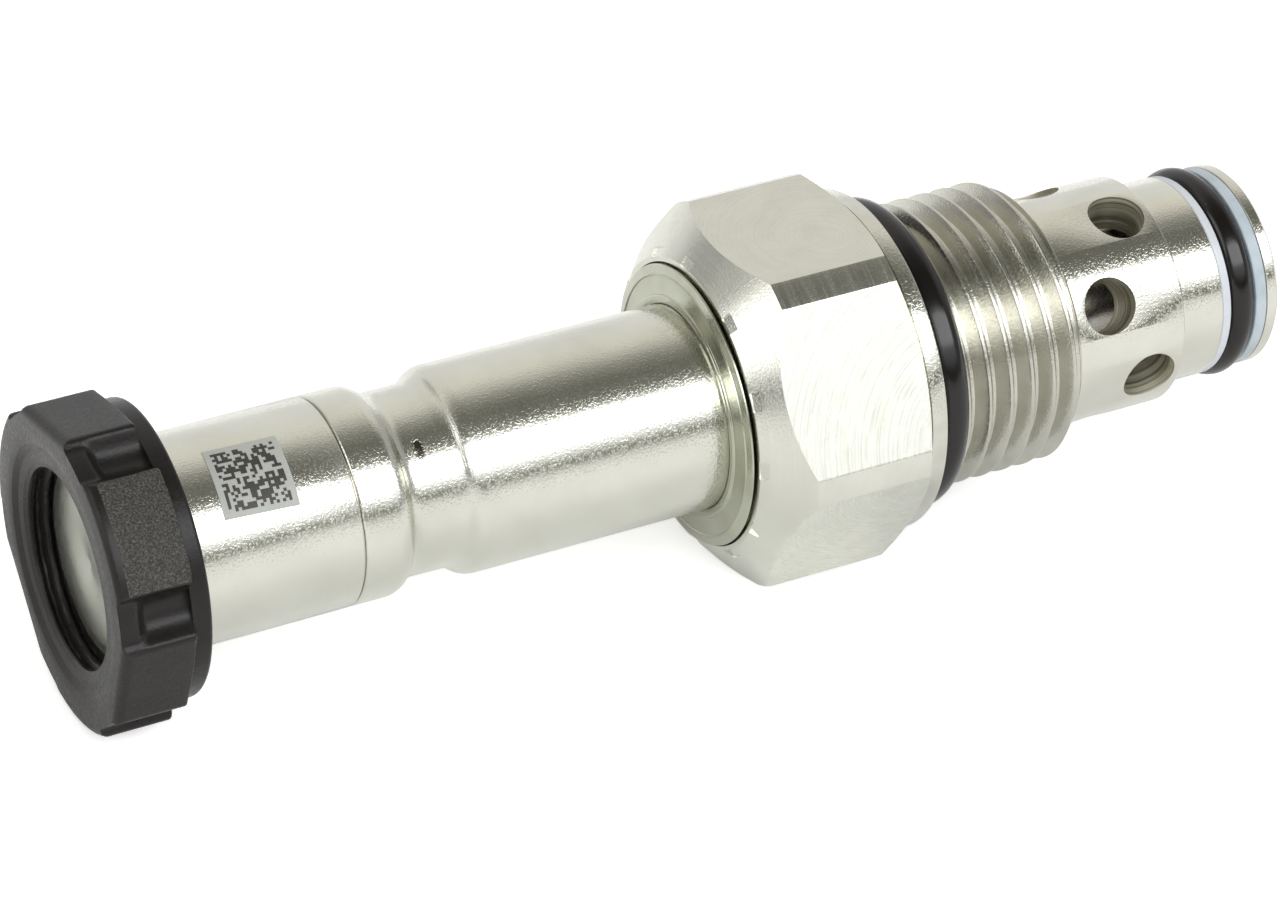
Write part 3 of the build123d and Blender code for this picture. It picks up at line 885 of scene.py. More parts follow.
@dataclass
class ThreadedBody:
    """Hexagon, flange and M18x1.5 thread, in one piece."""

    bevel_end: float = -9.65
    front_bevel: float = -1.9
    washer: float = -1.25
    rim_outer: float = 9.3
    rim_inner: float = 8.95
    mouth: float = 0.43
    edge_hold: float = 0.03
    foot_groove: tuple[tuple[float, float], ...] = (
        (0.0, -0.02), (0.04, 0.14), (0.14, 0.14), (0.18, 0.0))
    seat_edge: tuple[tuple[float, float], ...] = ((-0.15, 0.0), (-0.04, 0.04), (0.0, 0.15))
    bevel_rows: int = 13
    flat_rows: int = 9
    foot_rows: int = 5
    flange_r: float = 10.75
    seat_rim: float = 0.75
    seat_relief: float = 0.15
    relief_r: float = 7.7
    relief_end: float = 2.2
    relief_run: float = 0.10
    crest_r: float = 9.0
    root_r: float = 8.08
    pitch: float = 1.5
    crest_at: float = 5.52
    crest_w: float = 0.17
    root_w: float = 0.25
    thread_round: float = 0.035
    thread_step: float = 0.14
    bore: tuple[tuple[float, float], ...] = ((6.6, -2.5), (5.5, -4.0), (6.47, -8.05), (7.89, -9.5))
    pocket_r: float = 8.52
    stake_deg: tuple[float, ...] = (121, 96, 61.5, 31, 4.5, -24.6, -51, -82, -113, -141, -171, -209)
    stake_w: float = 1.2
    stake_reach: float = 0.6
    stake_depth: tuple[float, float] = (0.16, 0.05)
    arc_centres: tuple[tuple[float, float], ...] = (
        (2.0, -6.0), (-4.2, -1.6), (1.5, 5.0), (-6.0, 7.0), (3.0, -4.0), (-2.0, 6.0))

    def __post_init__(self) -> None:
        """Takes the main sizes from the frame."""
        box = span("valve_body")
        self.rim, self.end, self.bar_r, self.apothem = box.rear, box.front, box.radius, box.height
        self.strip = math.acos(self.apothem / self.bar_r)

    def columns(self) -> tuple[np.ndarray, np.ndarray]:
        """Works out the columns: even ones, both edges of each strip between flats, and two at each
        side of a stake mark, one outside and one inside it.

        Returns:
            The columns' angles, and 1 for each that is inside a mark.
        """
        edges = [math.radians(30 + 60 * k) + side * self.strip
                 for k in range(6) for side in (-1, 1)]
        plain = np.unique(np.round(np.mod(np.concatenate([around(300), edges]), math.tau), 6))
        half = self.stake_w / 2 / (self.rim_outer + self.stake_reach / 2)
        marks = [math.radians(degrees % 360) for degrees in self.stake_deg]
        made = [(turn, 0, float(any(abs(turn - mark) < half for mark in marks))) for turn in plain]
        for mark in marks:
            made += [(mark - half, 0, 0.0), (mark - half, 1, 1.0)]
            made += [(mark + half, 0, 1.0), (mark + half, 1, 0.0)]
        made.sort()
        return np.array([column[0] for column in made]), np.array([column[2] for column in made])

    def flat_offset(self, angles: np.ndarray) -> np.ndarray:
        """Each column's angle from the middle of its own flat."""
        pitch = math.pi / 3
        return np.mod(angles - math.pi / 6 + pitch / 2, pitch) - pitch / 2

    def thread(self, angles: np.ndarray) -> np.ndarray:
        """Winds the thread's section along its helix.

        The thread is right-handed, so it comes nearer to the hexagon as the elevation grows. It
        ends at the relief's wall, under the seal ring, and at the end chamfer.

        Args:
            angles: the body's columns, in one turn.

        Returns:
            A grid of points in metres: one column for each angle of each turn.
        """
        half, crest, root = self.pitch / 2, self.crest_w / 2, self.root_w / 2
        corners = soften([
            (-half, self.root_r), (-half + root, self.root_r, 0.12),
            (-crest, self.crest_r, self.thread_round), (crest, self.crest_r, self.thread_round),
            (half - root, self.root_r, 0.12),
            (half, self.root_r), (half, 0.0), (-half, 0.0)])[:-2]
        shape = []
        for (x0, r0), (x1, r1) in zip(corners, corners[1:]):
            steps = max(1, math.ceil(math.hypot(x1 - x0, r1 - r0) / self.thread_step))
            shape += [(x0 + (x1 - x0) * k / steps, r0 + (r1 - r0) * k / steps)
                      for k in range(steps)]
        shape = np.array(shape + [corners[-1]])
        first = math.ceil((self.end + half - self.crest_at) / self.pitch)
        turns = math.ceil((self.end - self.relief_end) / self.pitch) + 2
        turned = np.concatenate([angles + math.tau * k for k in range(turns)]
                                + [[math.tau * turns]])
        middle = self.crest_at + self.pitch * (first - turned / math.tau)
        x = np.clip(shape[:, :1] + middle[None, :], self.relief_end, self.end)
        slope = (self.crest_r - self.relief_r) / self.relief_run
        r = np.minimum(shape[:, 1:], self.relief_r + (x - self.relief_end) * slope)
        r = np.minimum(r, self.root_r + self.end - x)
        return np.stack([x, -r * np.cos(turned), r * np.sin(turned)], axis=2) * MM

    def rim_rows(self, inside: np.ndarray) -> Rows:
        """Rows of the pocket's rim and the first part of the bevel, with the stake marks in it.

        Args:
            inside: 1 for each column that is inside a mark.

        Returns:
            The rows, from the pocket outwards.
        """
        run = np.array([self.bevel_end - self.rim, self.bar_r - self.rim_outer])
        along = run / np.linalg.norm(run)
        inward = np.array([along[1], -along[0]])
        bite = self.rim_outer - self.stake_depth[0] * along[0]
        hold = self.edge_hold
        rows: Rows = [
            (self.rim + hold, self.rim_inner - hold), (self.rim, self.rim_inner),
            (self.rim, self.rim_inner + hold), (self.rim, bite - hold), (self.rim, bite)]
        for share in np.linspace(0, 1, 4):
            x = self.rim + along[0] * share * self.stake_reach
            r = self.rim_outer + along[1] * share * self.stake_reach
            deep = np.interp(share, (0, 1), self.stake_depth) * inside
            rows.append((x + inward[0] * deep, r + inward[1] * deep))
        rows.append((x, r))
        return rows

    def rows(self, angles: np.ndarray, inside: np.ndarray) -> Rows:
        """Works out every row from the pocket's floor over the hexagon to the thread's relief.

        Args:
            angles: the columns' angles.
            inside: 1 for each column that is inside a stake mark.

        Returns:
            The rows in order.
        """
        offset = self.flat_offset(angles)
        on_flat = np.abs(offset) <= self.strip + 1e-5
        across = np.where(on_flat, self.apothem / np.cos(offset), self.bar_r)
        slope = (self.bar_r - self.rim_outer) / (self.bevel_end - self.rim)
        rows: Rows = [(self.bore[3][1], self.bore[3][0]), (self.bore[3][1], self.pocket_r)]
        rows.append((self.rim + self.mouth, self.pocket_r))
        rows += self.rim_rows(inside)
        from_x, from_r = rows[-1]
        start_x = self.rim + (across - self.rim_outer) / slope
        for share in np.linspace(0, 1, self.bevel_rows)[1:]:
            rows.append((from_x + (start_x - from_x) * share, from_r + (across - from_r) * share))
        fall = (self.bar_r - self.apothem) / (self.washer - self.front_bevel)
        end_x = self.front_bevel + (self.bar_r - across) / fall
        for share in np.linspace(0, 1, self.flat_rows)[1:]:
            rows.append((start_x + (end_x - start_x) * share, across))
        for share in np.linspace(0, 1, self.foot_rows)[1:]:
            rows.append((end_x + (self.washer - end_x) * share,
                         across + (self.apothem - across) * share))
        seat_in = self.flange_r - self.seat_rim
        rows += [(self.washer + on, self.flange_r - deep) for on, deep in self.foot_groove]
        rows += [(x, self.flange_r - deep) for x, deep in self.seat_edge]
        rows += [(0.0, seat_in), (-self.seat_relief, seat_in), (-self.seat_relief, self.relief_r)]
        rows.append((self.relief_end, self.relief_r))
        return rows

    def bore_rows(self) -> Rows:
        """Rows of the end face and the bores, back to the pocket's floor.

        Returns:
            The rows in order.
        """
        rows: Rows = [(self.end, self.root_r)]
        start = self.end
        for radius, x in self.bore:
            rows += [(start, radius), (x, radius)]
            start = x
        return rows

    def build(self, finishes: Finishes) -> Thing:
        """Makes the body, with its flats, its flange and its thread in their own finishes.

        Args:
            finishes: the valve's finishes.

        Returns:
            The body.
        """
        angles, inside = self.columns()
        made = join("threaded_body", [
            wrapped(self.rows(angles, inside), angles, closed=False), self.thread(angles),
            wrapped(self.bore_rows(), angles, closed=False)])
        dress(made, finishes.body, finishes.flats, finishes.flange, finishes.thread)
        mesh = made.data
        layer = mesh.uv_layers.new(name=MilledSteel.layer)
        corners = [math.radians(30 + 60 * k) for k in range(6)]
        for face in mesh.polygons:
            middle = face.center / MM
            turn = math.atan2(middle.z, -middle.y)
            k = min(range(6), key=lambda n: abs(math.remainder(turn - corners[n], math.tau)))
            out = Vector((0.0, -math.cos(corners[k]), math.sin(corners[k])))
            if abs(middle.dot(out) - self.apothem) > 1e-3 or face.normal.dot(out) < 0.999:
                radius = math.hypot(middle.y, middle.z)
                if middle.x > self.relief_end:
                    face.material_index = 3 if radius > self.root_r - 0.5 else 0
                elif middle.x > self.front_bevel and radius > self.flange_r - self.seat_rim:
                    face.material_index = 2
                continue
            face.material_index = 1
            side = Vector((0.0, math.sin(corners[k]), math.cos(corners[k])))
            centre = self.arc_centres[k]
            for loop in face.loop_indices:
                point = mesh.vertices[mesh.loops[loop].vertex_index].co / MM
                layer.data[loop].uv = (point.x - centre[0], point.dot(side) - centre[1])
        break_edges(made, 0.06, 1)
        return finish_piece(made, "housing", "zinc_plated_steel", "valve_body")


@dataclass
class PortedCage:
    """Cage with two rows of drilled ports, its shoulder, nose and seal groove."""

    step_x: float = 18.9
    step_w: float = 0.55
    body_r: float = 7.3
    nose_r: float = 6.45
    groove_rear: float = 22.32
    groove_front: float = 25.6
    groove_r: float = 4.95
    bore_r: float = 4.6
    port_r: float = 3.6
    seat_x: float = 18.6
    hole_d: float = 3.6
    hole_rows: tuple[tuple[float, float], ...] = ((13.85, 30.0), (16.7, 75.0))
    holes_in_row: int = 4
    spigot_r: float = 6.6
    edge: float = 0.25

    def outline(self) -> Rows:
        """Draws the turned outline, before the ports are drilled.

        Returns:
            The outline's points.
        """
        box = span("cage")
        thread_end = span("valve_body").front
        return [
            (box.rear, self.bore_r), (box.rear, self.spigot_r, 0.1), (thread_end, self.spigot_r),
            (thread_end, self.body_r, 0.12), (self.step_x, self.body_r, 0.05),
            (self.step_x + self.step_w, self.nose_r, 0.05), (self.groove_rear, self.nose_r, 0.06),
            (self.groove_rear, self.groove_r), (self.groove_front, self.groove_r),
            (self.groove_front, self.nose_r, 0.06), (box.front - self.edge, self.nose_r, 0.06),
            (box.front, self.nose_r - self.edge, 0.06), (box.front, self.port_r + self.edge, 0.05),
            (box.front - self.edge, self.port_r, 0.05), (self.seat_x, self.port_r),
            (self.seat_x, self.bore_r)]

    def build(self, finishes: Finishes) -> Thing:
        """Turns the cage, drills it and breaks the ports' edges.

        Args:
            finishes: the valve's finishes.

        Returns:
            The cage.
        """
        made = lathe("ported_cage", self.outline())
        dress(made, finishes.cage)
        for number, (x, first) in enumerate(self.hole_rows):
            tool = drills(f"port_drills_{number}", self.holes_in_row, first, x, self.hole_d,
                          self.body_r + 2, finishes.hole)
            cut = made.modifiers.new("drill", "BOOLEAN")
            cut.operation, cut.solver, cut.object = "DIFFERENCE", "EXACT", tool
            cut.material_mode = "TRANSFER"
            plain_copy(made)
            bpy.data.objects.remove(tool)
        break_edges(made, 0.09)
        made.data.shade_smooth()
        made.data.set_sharp_from_angle(angle=math.radians(SHARP_DEG))
        return finish_piece(made, "housing", "plated_cage", "cage")


@dataclass
class Seals:
    """Sealing rings and backup rings outside the cage and the body, and the hidden ones."""

    round_rings: tuple[tuple[str, str], ...] = (
        ("body_seal_ring", "housing"), ("nose_seal_ring", "housing"), ("collar_seal_ring", "housing"),
        ("core_seal_ring", "housing"), ("nut_seal_ring", "nut_carrier"))
    flat_rings: tuple[str, ...] = ("backup_ring_inner", "backup_ring_outer")
    flat_inner_r: float = 4.97

    def build(self, finishes: Finishes) -> None:
        """Makes every ring where its CAD node is.

        Args:
            finishes: the valve's finishes.
        """
        for node, body in self.round_rings:
            box = span(node)
            section = (box.front - box.rear) / 2
            x, r = (box.front + box.rear) / 2, box.radius - section
            outline = [(x + section * math.cos(a), r + section * math.sin(a)) for a in around(40)]
            made = dress(skin(f"{node}_moulded", outline, around(240)), finishes.rubber)
            finish_piece(made, body, "nitrile", node)
        for node in self.flat_rings:
            box = span(node)
            inner = self.flat_inner_r
            outline = [(box.rear, inner, 0.05), (box.rear, box.radius, 0.10),
                       (box.front, box.radius, 0.10), (box.front, inner, 0.05)]
            finish = finishes.backup_pale if node.endswith("inner") else finishes.backup
            made = dress(lathe(f"{node}_skived", outline, 240), finish)
            finish_piece(made, "housing", "backup_plastic", node)


@dataclass
class PoppetCore:
    """The poppet and its pilot seat, seen through the ports, and the pieces that never show."""

    hidden: tuple[str, ...] = ("pilot_stem", "cross_pin", "armature")
    oil_grooves: tuple[float, ...] = (6.425, 8.025, 9.625)
    oil_groove_w: float = 0.35
    oil_groove_r: float = 4.37
    waist_r: float = 3.1
    head_r: float = 3.93
    stem_room_r: float = 1.53
    seat_room_r: float = 2.0
    seat_floor: float = 9.5

    def build(self, finishes: Finishes) -> None:
        """Makes the poppet and the seat, and dresses the hidden nodes.

        Args:
            finishes: the valve's finishes.
        """
        box = span("main_poppet")
        head = box.front - 1.0
        outline: Rows = [(box.rear, self.stem_room_r), (box.rear, box.radius, 0.15)]
        for start in self.oil_grooves:
            end = round(start + self.oil_groove_w, 3)
            outline += [(start, box.radius), (start, self.oil_groove_r), (end, self.oil_groove_r),
                        (end, box.radius)]
        outline += [
            (12.9, box.radius, 0.1), (13.9, self.waist_r, 0.3), (head - 0.85, self.waist_r, 0.2),
            (head - 0.25, self.head_r, 0.05), (head, self.head_r, 0.05),
            (box.front, self.head_r - 1.0, 0.05), (box.front, self.seat_room_r, 0.05),
            (self.seat_floor, self.seat_room_r), (self.seat_floor, self.stem_room_r)]
        made = dress(lathe("turned_poppet", outline, 192), finishes.ground)
        finish_piece(made, "poppet", "ground_steel", "main_poppet")
        seat = span("pilot_seat")
        outline = [(seat.rear, 0.9), (seat.rear, 2.0), (seat.front, 2.0, 0.1),
                   (seat.front, 0.5, 0.1), (seat.rear + 0.4, 0.5)]
        made = dress(lathe("turned_pilot_seat", outline, 96), finishes.ground)
        finish_piece(made, "poppet", "ground_steel", "pilot_seat")
        for node in self.hidden:
            dress(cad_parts[node], finishes.ground)
        dress(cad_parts["armature_spring"], finishes.wire)
        dress(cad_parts["shim_disc"], finishes.shim)


@dataclass
class ArmatureTube:
    """Guide tube with its rolled neck, the staked collar, and the pole core that closes the tube."""

    neck_r: float = 5.68
    neck_x: float = -31.4
    neck_flat: float = 2.0
    roll: float = 1.95
    wall: float = 0.95
    stud_r: float = 6.0
    stud_pitch: float = 1.0
    stud_depth: float = 0.5
    shoulder: float = -48.65
    ring_groove_x: float = -35.3
    ring_groove_half: float = 0.6
    ring_groove_depth: float = 0.9
    spring_room_r: float = 2.3
    spring_room: float = 4.0
    collar_profile: tuple[tuple[float, float, float], ...] = (
        (0.48, 8.86, 0.03), (0.38, 8.83, 0.04), (0.28, 8.30, 0.02), (0.20, 8.26, 0.02),
        (0.20, 8.19, 0.02), (0.26, 8.16, 0.02), (0.15, 7.06, 0.05), (0.05, 7.00, 0.05),
        (0.0, 6.92, 0.05), (0.0, 6.66, 0.06))

    def flank(self, side: int, inset: float, steps: int = 12) -> list[tuple[float, float]]:
        """Draws one rolled flank as two arcs with a shared tangent.

        Args:
            side: -1 for the flank nearer to the nut, 1 for the other.
            inset: how far inside the tube's surface it runs.
            steps: pieces in each arc.

        Returns:
            Its points, from the full tube to the neck.
        """
        full_r = self.tube_r
        neck = self.neck_x + side * self.neck_flat / 2
        full = neck + side * self.roll
        drop = full_r - self.neck_r
        bend = (self.roll ** 2 + drop ** 2) / (4 * drop)
        turn = math.acos(1 - drop / (2 * bend))
        outer, inner = bend - inset, bend + inset
        arc = [turn * k / steps for k in range(steps + 1)]
        points = [(full - side * outer * math.sin(a), full_r - bend + outer * math.cos(a))
                  for a in arc]
        points += [(neck + side * inner * math.sin(a), self.neck_r + bend - inner * math.cos(a))
                   for a in reversed(arc[:-1])]
        return points

    @property
    def tube_r(self) -> float:
        """Outer radius of the tube."""
        return span("guide_tube").radius

    def build(self, finishes: Finishes) -> None:
        """Makes the tube, the collar and the core.

        Args:
            finishes: the valve's finishes.
        """
        tube, collar, core = span("guide_tube"), span("tube_collar"), span("pole_core")
        outer = [(tube.rear, self.tube_r - 0.10, 0.03), (tube.rear + 0.10, self.tube_r, 0.05)]
        outer += self.flank(-1, 0.0) + self.flank(1, 0.0)[::-1]
        outer += [(tube.front, self.tube_r), (tube.front, self.tube_r - self.wall)]
        outer += self.flank(1, self.wall) + self.flank(-1, self.wall)[::-1]
        outer.append((tube.rear, self.tube_r - self.wall))
        made = dress(lathe("drawn_guide_tube", outer), finishes.tube)
        finish_piece(made, "housing", "satin_steel", "guide_tube")

        rear = collar.rear
        outline = [
            (collar.front, self.tube_r + 0.02), (collar.front, collar.radius, 0.15),
            (rear + 0.86, collar.radius),
            *((rear + on, radius, corner) for on, radius, corner in self.collar_profile),
            (rear + 0.08, self.tube_r + 0.03, 0.03)]
        made = dress(lathe("rolled_collar", outline), finishes.collar)
        finish_piece(made, "housing", "zinc_plated_steel", "tube_collar")
        self.build_core(finishes, core, tube)

    def build_core(self, finishes: Finishes, core: Span, tube: Span) -> None:
        """Makes the pole core with its threaded stud.

        Args:
            finishes: the valve's finishes.
            core: the box of the core's node.
            tube: the box of the tube's node.
        """
        angles = around(256)
        shoulder, seam, spigot = self.shoulder, tube.rear - 0.06, self.tube_r - self.wall - 0.02
        rows: Rows = [
            (core.rear + 0.10, 0.0), (core.rear + 0.08, 0.22), (core.rear, 0.36), (core.rear, 3.2),
            (core.rear, self.stud_r - 0.45), (core.rear + 0.06, self.stud_r - 0.32)]
        step = self.stud_pitch / 20
        for x in np.arange(core.rear + 0.3, shoulder - step / 2, step):
            cut = thread_cut(x, self.stud_pitch, angles)
            limit = min(self.stud_r, self.stud_r - 0.3 + (x - core.rear))
            rows.append((x, np.minimum(self.stud_r - self.stud_depth * cut, limit)))
        rows += [(shoulder, self.stud_r - self.stud_depth), (shoulder, self.tube_r - 0.08)]
        rows += [(shoulder + 0.08, self.tube_r), (seam - 0.12, self.tube_r)]
        ledge = self.tube_r - 0.13
        rows += [(seam - 0.03, self.tube_r - 0.05), (seam, ledge), (tube.rear - 0.01, ledge),
                 (tube.rear - 0.01, spigot)]
        groove, ring = self.ring_groove_x, self.ring_groove_half
        floor = spigot - self.ring_groove_depth
        rows += [(groove - ring, spigot), (groove - ring, floor), (groove + ring, floor),
                 (groove + ring, spigot)]
        inset = self.wall + 0.02
        rows += self.flank(-1, inset) + self.flank(1, inset)[::-1]
        rows += [(core.front - 0.15, spigot), (core.front, spigot - 0.15),
                 (core.front, self.spring_room_r),
                 (core.front - self.spring_room, self.spring_room_r),
                 (core.front - self.spring_room, 0.0)]
        made = skin("turned_pole_core", rows, angles, closed=False)
        dress(made, finishes.tube, finishes.stud)
        for face in made.data.polygons:
            if face.center.x < shoulder * MM:
                face.material_index = 1
        finish_piece(made, "housing", "turned_steel", "pole_core")


@dataclass
class CodeLabel:
    """Grey film on the core's head, printed with a made-up field of small blocks."""

    corners: tuple[tuple[float, float], ...] = (
        (-44.5, 81.0), (-39.95, 79.5), (-40.1, 38.0), (-44.75, 40.0))
    lift: float = 0.03
    ink_lift: float = 0.008
    steps: int = 24
    cells: int = 20
    margin: float = 0.08
    share: float = 0.55
    seed: int = 7

    def spot(self, along: float, across: float, lift: float) -> Vector:
        """Finds a point of the label.

        Args:
            along: share of its length, from 0 to 1.
            across: share of its width, from 0 to 1.
            lift: height over the core's head in millimetres.

        Returns:
            The point in metres.
        """
        (x0, e0), (x1, e1), (x2, e2), (x3, e3) = self.corners
        top = (x0 + (x1 - x0) * along, e0 + (e1 - e0) * along)
        low = (x3 + (x2 - x3) * along, e3 + (e2 - e3) * along)
        x, turn = (top[k] + (low[k] - top[k]) * across for k in (0, 1))
        r = span("pole_core").height + lift
        return Vector((x, -r * math.cos(math.radians(turn)), r * math.sin(math.radians(turn)))) * MM

    def pattern(self, finish: Material) -> Thing:
        """Makes a flat unit square of blocks, chosen at random by a node tree with a fixed seed.

        Args:
            finish: the ink.

        Returns:
            The blocks as one mesh.
        """
        made = Tree("label_blocks")
        tree = made.tree
        cells = made.size("Cells", self.cells)
        seed = made.size("Seed", self.seed)
        share = made.size("Share of dark cells", self.share)
        ink = made.size("Ink", finish)
        lines = maths(tree, "ADD", cells, 1.0)
        grid = add(tree, "GeometryNodeMeshGrid", {
            "Size X": 1.0, "Size Y": 1.0, "Vertices X": lines, "Vertices Y": lines})
        split = add(tree, "GeometryNodeSplitEdges", {0: grid.outputs[0]})
        dark = add(tree, "FunctionNodeRandomValue", {"Probability": share, "Seed": seed},
                   data_type="BOOLEAN")
        away = maths(tree, "SUBTRACT", 1.0, dark.outputs[3])
        kept = add(tree, "GeometryNodeDeleteGeometry", {0: split.outputs[0], "Selection": away},
                   domain="FACE")
        dressed = add(tree, "GeometryNodeSetMaterial", {0: kept.outputs[0], "Material": ink})
        return made.run("label_print", dressed.outputs[0])

    def build(self, finishes: Finishes) -> None:
        """Makes the film and its print, bent round the core's head.

        Args:
            finishes: the valve's finishes.
        """
        steps, wide = self.steps, self.steps + 1
        grid, low = (
            [self.spot(i / steps, j / steps, lift) for j in range(wide) for i in range(wide)]
            for lift in (self.lift, 0.0))
        faces = [(j * wide + i, j * wide + i + 1, (j + 1) * wide + i + 1, (j + 1) * wide + i)
                 for j in range(steps) for i in range(steps)]
        back = [tuple(len(grid) + k for k in reversed(face)) for face in faces]
        rim = list(range(steps)) + [steps + wide * k for k in range(steps)]
        rim += [wide * wide - 1 - k for k in range(steps)]
        rim += [wide * (steps - k) for k in range(steps)]
        walls = [(here, there, there + len(grid), here + len(grid))
                 for here, there in zip(rim, rim[1:] + rim[:1])]
        mesh = bpy.data.meshes.new("label_film")
        mesh.from_pydata(grid + low, [], faces + back + walls)
        finish_piece(dress(settle("label_film", mesh), finishes.label), "housing", "turned_steel")
        printed = self.pattern(finishes.ink)
        inner = 1 - 2 * self.margin
        for vertex in printed.data.vertices:
            along = self.margin + (vertex.co.x + 0.5) * inner
            across = self.margin + (vertex.co.y + 0.5) * inner
            vertex.co = self.spot(along, across, self.lift + self.ink_lift)
        finish_piece(printed, "housing", "turned_steel")


@dataclass
class CoilNut:
    """Black moulded nut: rim, three grained pads, three flats, grooves between them, and a dished
    front round the threaded hole."""

    rim_r: float = 9.05
    rim_w: float = 1.25
    rim_round: float = 0.3
    pad_r: float = 10.1
    pad_end: float = -52.45
    pad_round: float = 0.22
    flat_at: float = 9.25
    pad_deg: float = 42.0
    groove_bottom: float = 8.55
    groove_r: float = 1.65
    web_w: float = 1.0
    web_r: float = 9.45
    web_ramp: float = 0.9
    smooth_w: float = 0.6
    blur: tuple[float, ...] = (0.04, 0.10, 0.20, 0.32, 0.20, 0.10, 0.04)
    front_round: float = 0.6
    bore_r: float = 6.05
    pitch: float = 1.0
    thread_depth: float = 0.42
    counterbore_r: float = 8.0
    shoulder: float = -48.7
    dish: tuple[tuple[float, float], ...] = ((0.0, 7.68), (0.03, 7.6), (0.22, 7.22), (0.25, 7.15),
                                             (0.25, 6.5), (0.29, 6.42), (0.40, 6.12))

    def offsets(self, angles: np.ndarray) -> tuple[np.ndarray, np.ndarray]:
        """Finds each column's nearest pad.

        Args:
            angles: the columns' angles.

        Returns:
            Each column's angle from its pad's middle, and whether that pad is a smooth flat.
        """
        pitch = math.pi / 3
        shifted = angles - math.radians(self.pad_deg) + pitch / 2
        number = np.floor(shifted / pitch)
        return shifted - number * pitch - pitch / 2, np.mod(number, 2) == 1

    def contours(self, angles: np.ndarray) -> tuple[np.ndarray, np.ndarray, np.ndarray]:
        """Works out the nut's outlines.

        Args:
            angles: the columns' angles.

        Returns:
            Each column's radius on the outline without grooves, on the pads with them, and on the
            web between the pads at the front.
        """
        offset, smooth = self.offsets(angles)
        outline = np.minimum(self.pad_r,
                             np.where(smooth, self.flat_at / np.cos(offset), self.pad_r))
        centre = self.groove_bottom + self.groove_r
        beside = math.pi / 6 - np.abs(offset)
        inside = np.maximum(self.groove_r ** 2 - (centre * np.sin(beside)) ** 2, 0.0)
        groove = np.where(inside > 0, centre * np.cos(beside) - np.sqrt(inside), self.pad_r)
        pads = np.minimum(outline, groove)
        web = np.where(groove < outline, np.minimum(np.maximum(groove, self.web_r), outline),
                       outline)
        return tuple(sum(share * np.roll(ring, k - len(self.blur) // 2)
                         for k, share in enumerate(self.blur))
                     for ring in (outline, pads, web))

    def rows(self, angles: np.ndarray) -> Rows:
        """Works out every row, over the outside to the front and back through the bore.

        Args:
            angles: the columns' angles.

        Returns:
            The rows in order, from the rear face.
        """
        box = span("coil_nut")
        outline, pads, web = self.contours(angles)
        rear, front = box.front, box.rear
        step, web_x = rear - self.rim_w, front + self.web_w
        quarter = np.linspace(0, math.pi / 2, 6)
        rows: Rows = [(rear, self.counterbore_r)]
        rows += [(rear - self.rim_round * (1 - math.cos(turn)),
                  self.rim_r - self.rim_round * (1 - math.sin(turn))) for turn in quarter]
        rows.append((step, self.rim_r))
        inset = self.pad_round * np.clip((pads - self.rim_r) / 0.6, 0.0, 1.0)
        rows.append((step, self.rim_r + (pads - inset - self.rim_r) * 0.5))
        rows += [(step - inset * (1 - math.cos(turn)), pads - inset * (1 - math.sin(turn)))
                 for turn in quarter]
        foot = web_x + self.web_ramp
        rows += [(step + (foot - step) * share, pads) for share in (0.25, 0.5, 0.75, 1.0)]
        rows += [(foot - self.web_ramp * share, pads + (web - pads) * share ** 2 * (3 - 2 * share))
                 for share in np.linspace(0, 1, 8)[1:]]
        for turn in np.linspace(0, math.pi / 2, 9):
            full = outline - self.front_round * (1 - math.cos(turn))
            rows.append((self.pad_end + (front - self.pad_end) * math.sin(turn),
                         np.minimum(web, full)))
        rows.append((front, (rows[-1][1] + self.dish[0][1]) / 2))
        rows += [(front + deep, radius) for deep, radius in self.dish]
        step_x = self.pitch / 20
        for x in np.arange(front + 0.5, self.shoulder - step_x / 2, step_x):
            cut = thread_cut(x, self.pitch, angles, 0.5)
            ends = min(1.0, (x - front - 0.4) / 0.3, (self.shoulder - x) / 0.2)
            rows.append((x, self.bore_r + self.thread_depth * (1 - cut) * max(0.0, ends)))
        rows += [(self.shoulder, self.bore_r), (self.shoulder, self.counterbore_r)]
        return rows

    def build(self, finishes: Finishes) -> Thing:
        """Makes the nut, with grain on three of its pads.

        Args:
            finishes: the valve's finishes.

        Returns:
            The nut.
        """
        angles = around(480)
        made = skin("moulded_coil_nut", self.rows(angles), angles)
        dress(made, finishes.nylon, finishes.grain)
        box = span("coil_nut")
        rear, start = (box.front - self.rim_w) * MM, (box.rear + self.smooth_w) * MM
        for face in made.data.polygons:
            x, y, z = face.center
            radius = math.hypot(y, z) / MM
            _, smooth = self.offsets(np.array([math.atan2(z, -y)]))
            if radius > self.pad_r - 0.12 and start < x < rear and not smooth[0]:
                face.material_index = 1
        return finish_piece(made, "nut", "black_nylon", "coil_nut")


# Studio

class Cast(Enum):
    """Colour cast of a part of the room, as red, green and blue shares."""

    NEUTRAL = (1.0, 1.0, 1.0)
    COOL = (0.985, 0.995, 1.02)
    OLIVE = (1.0, 1.0, 0.88)
    WARM = (1.0, 0.975, 0.90)


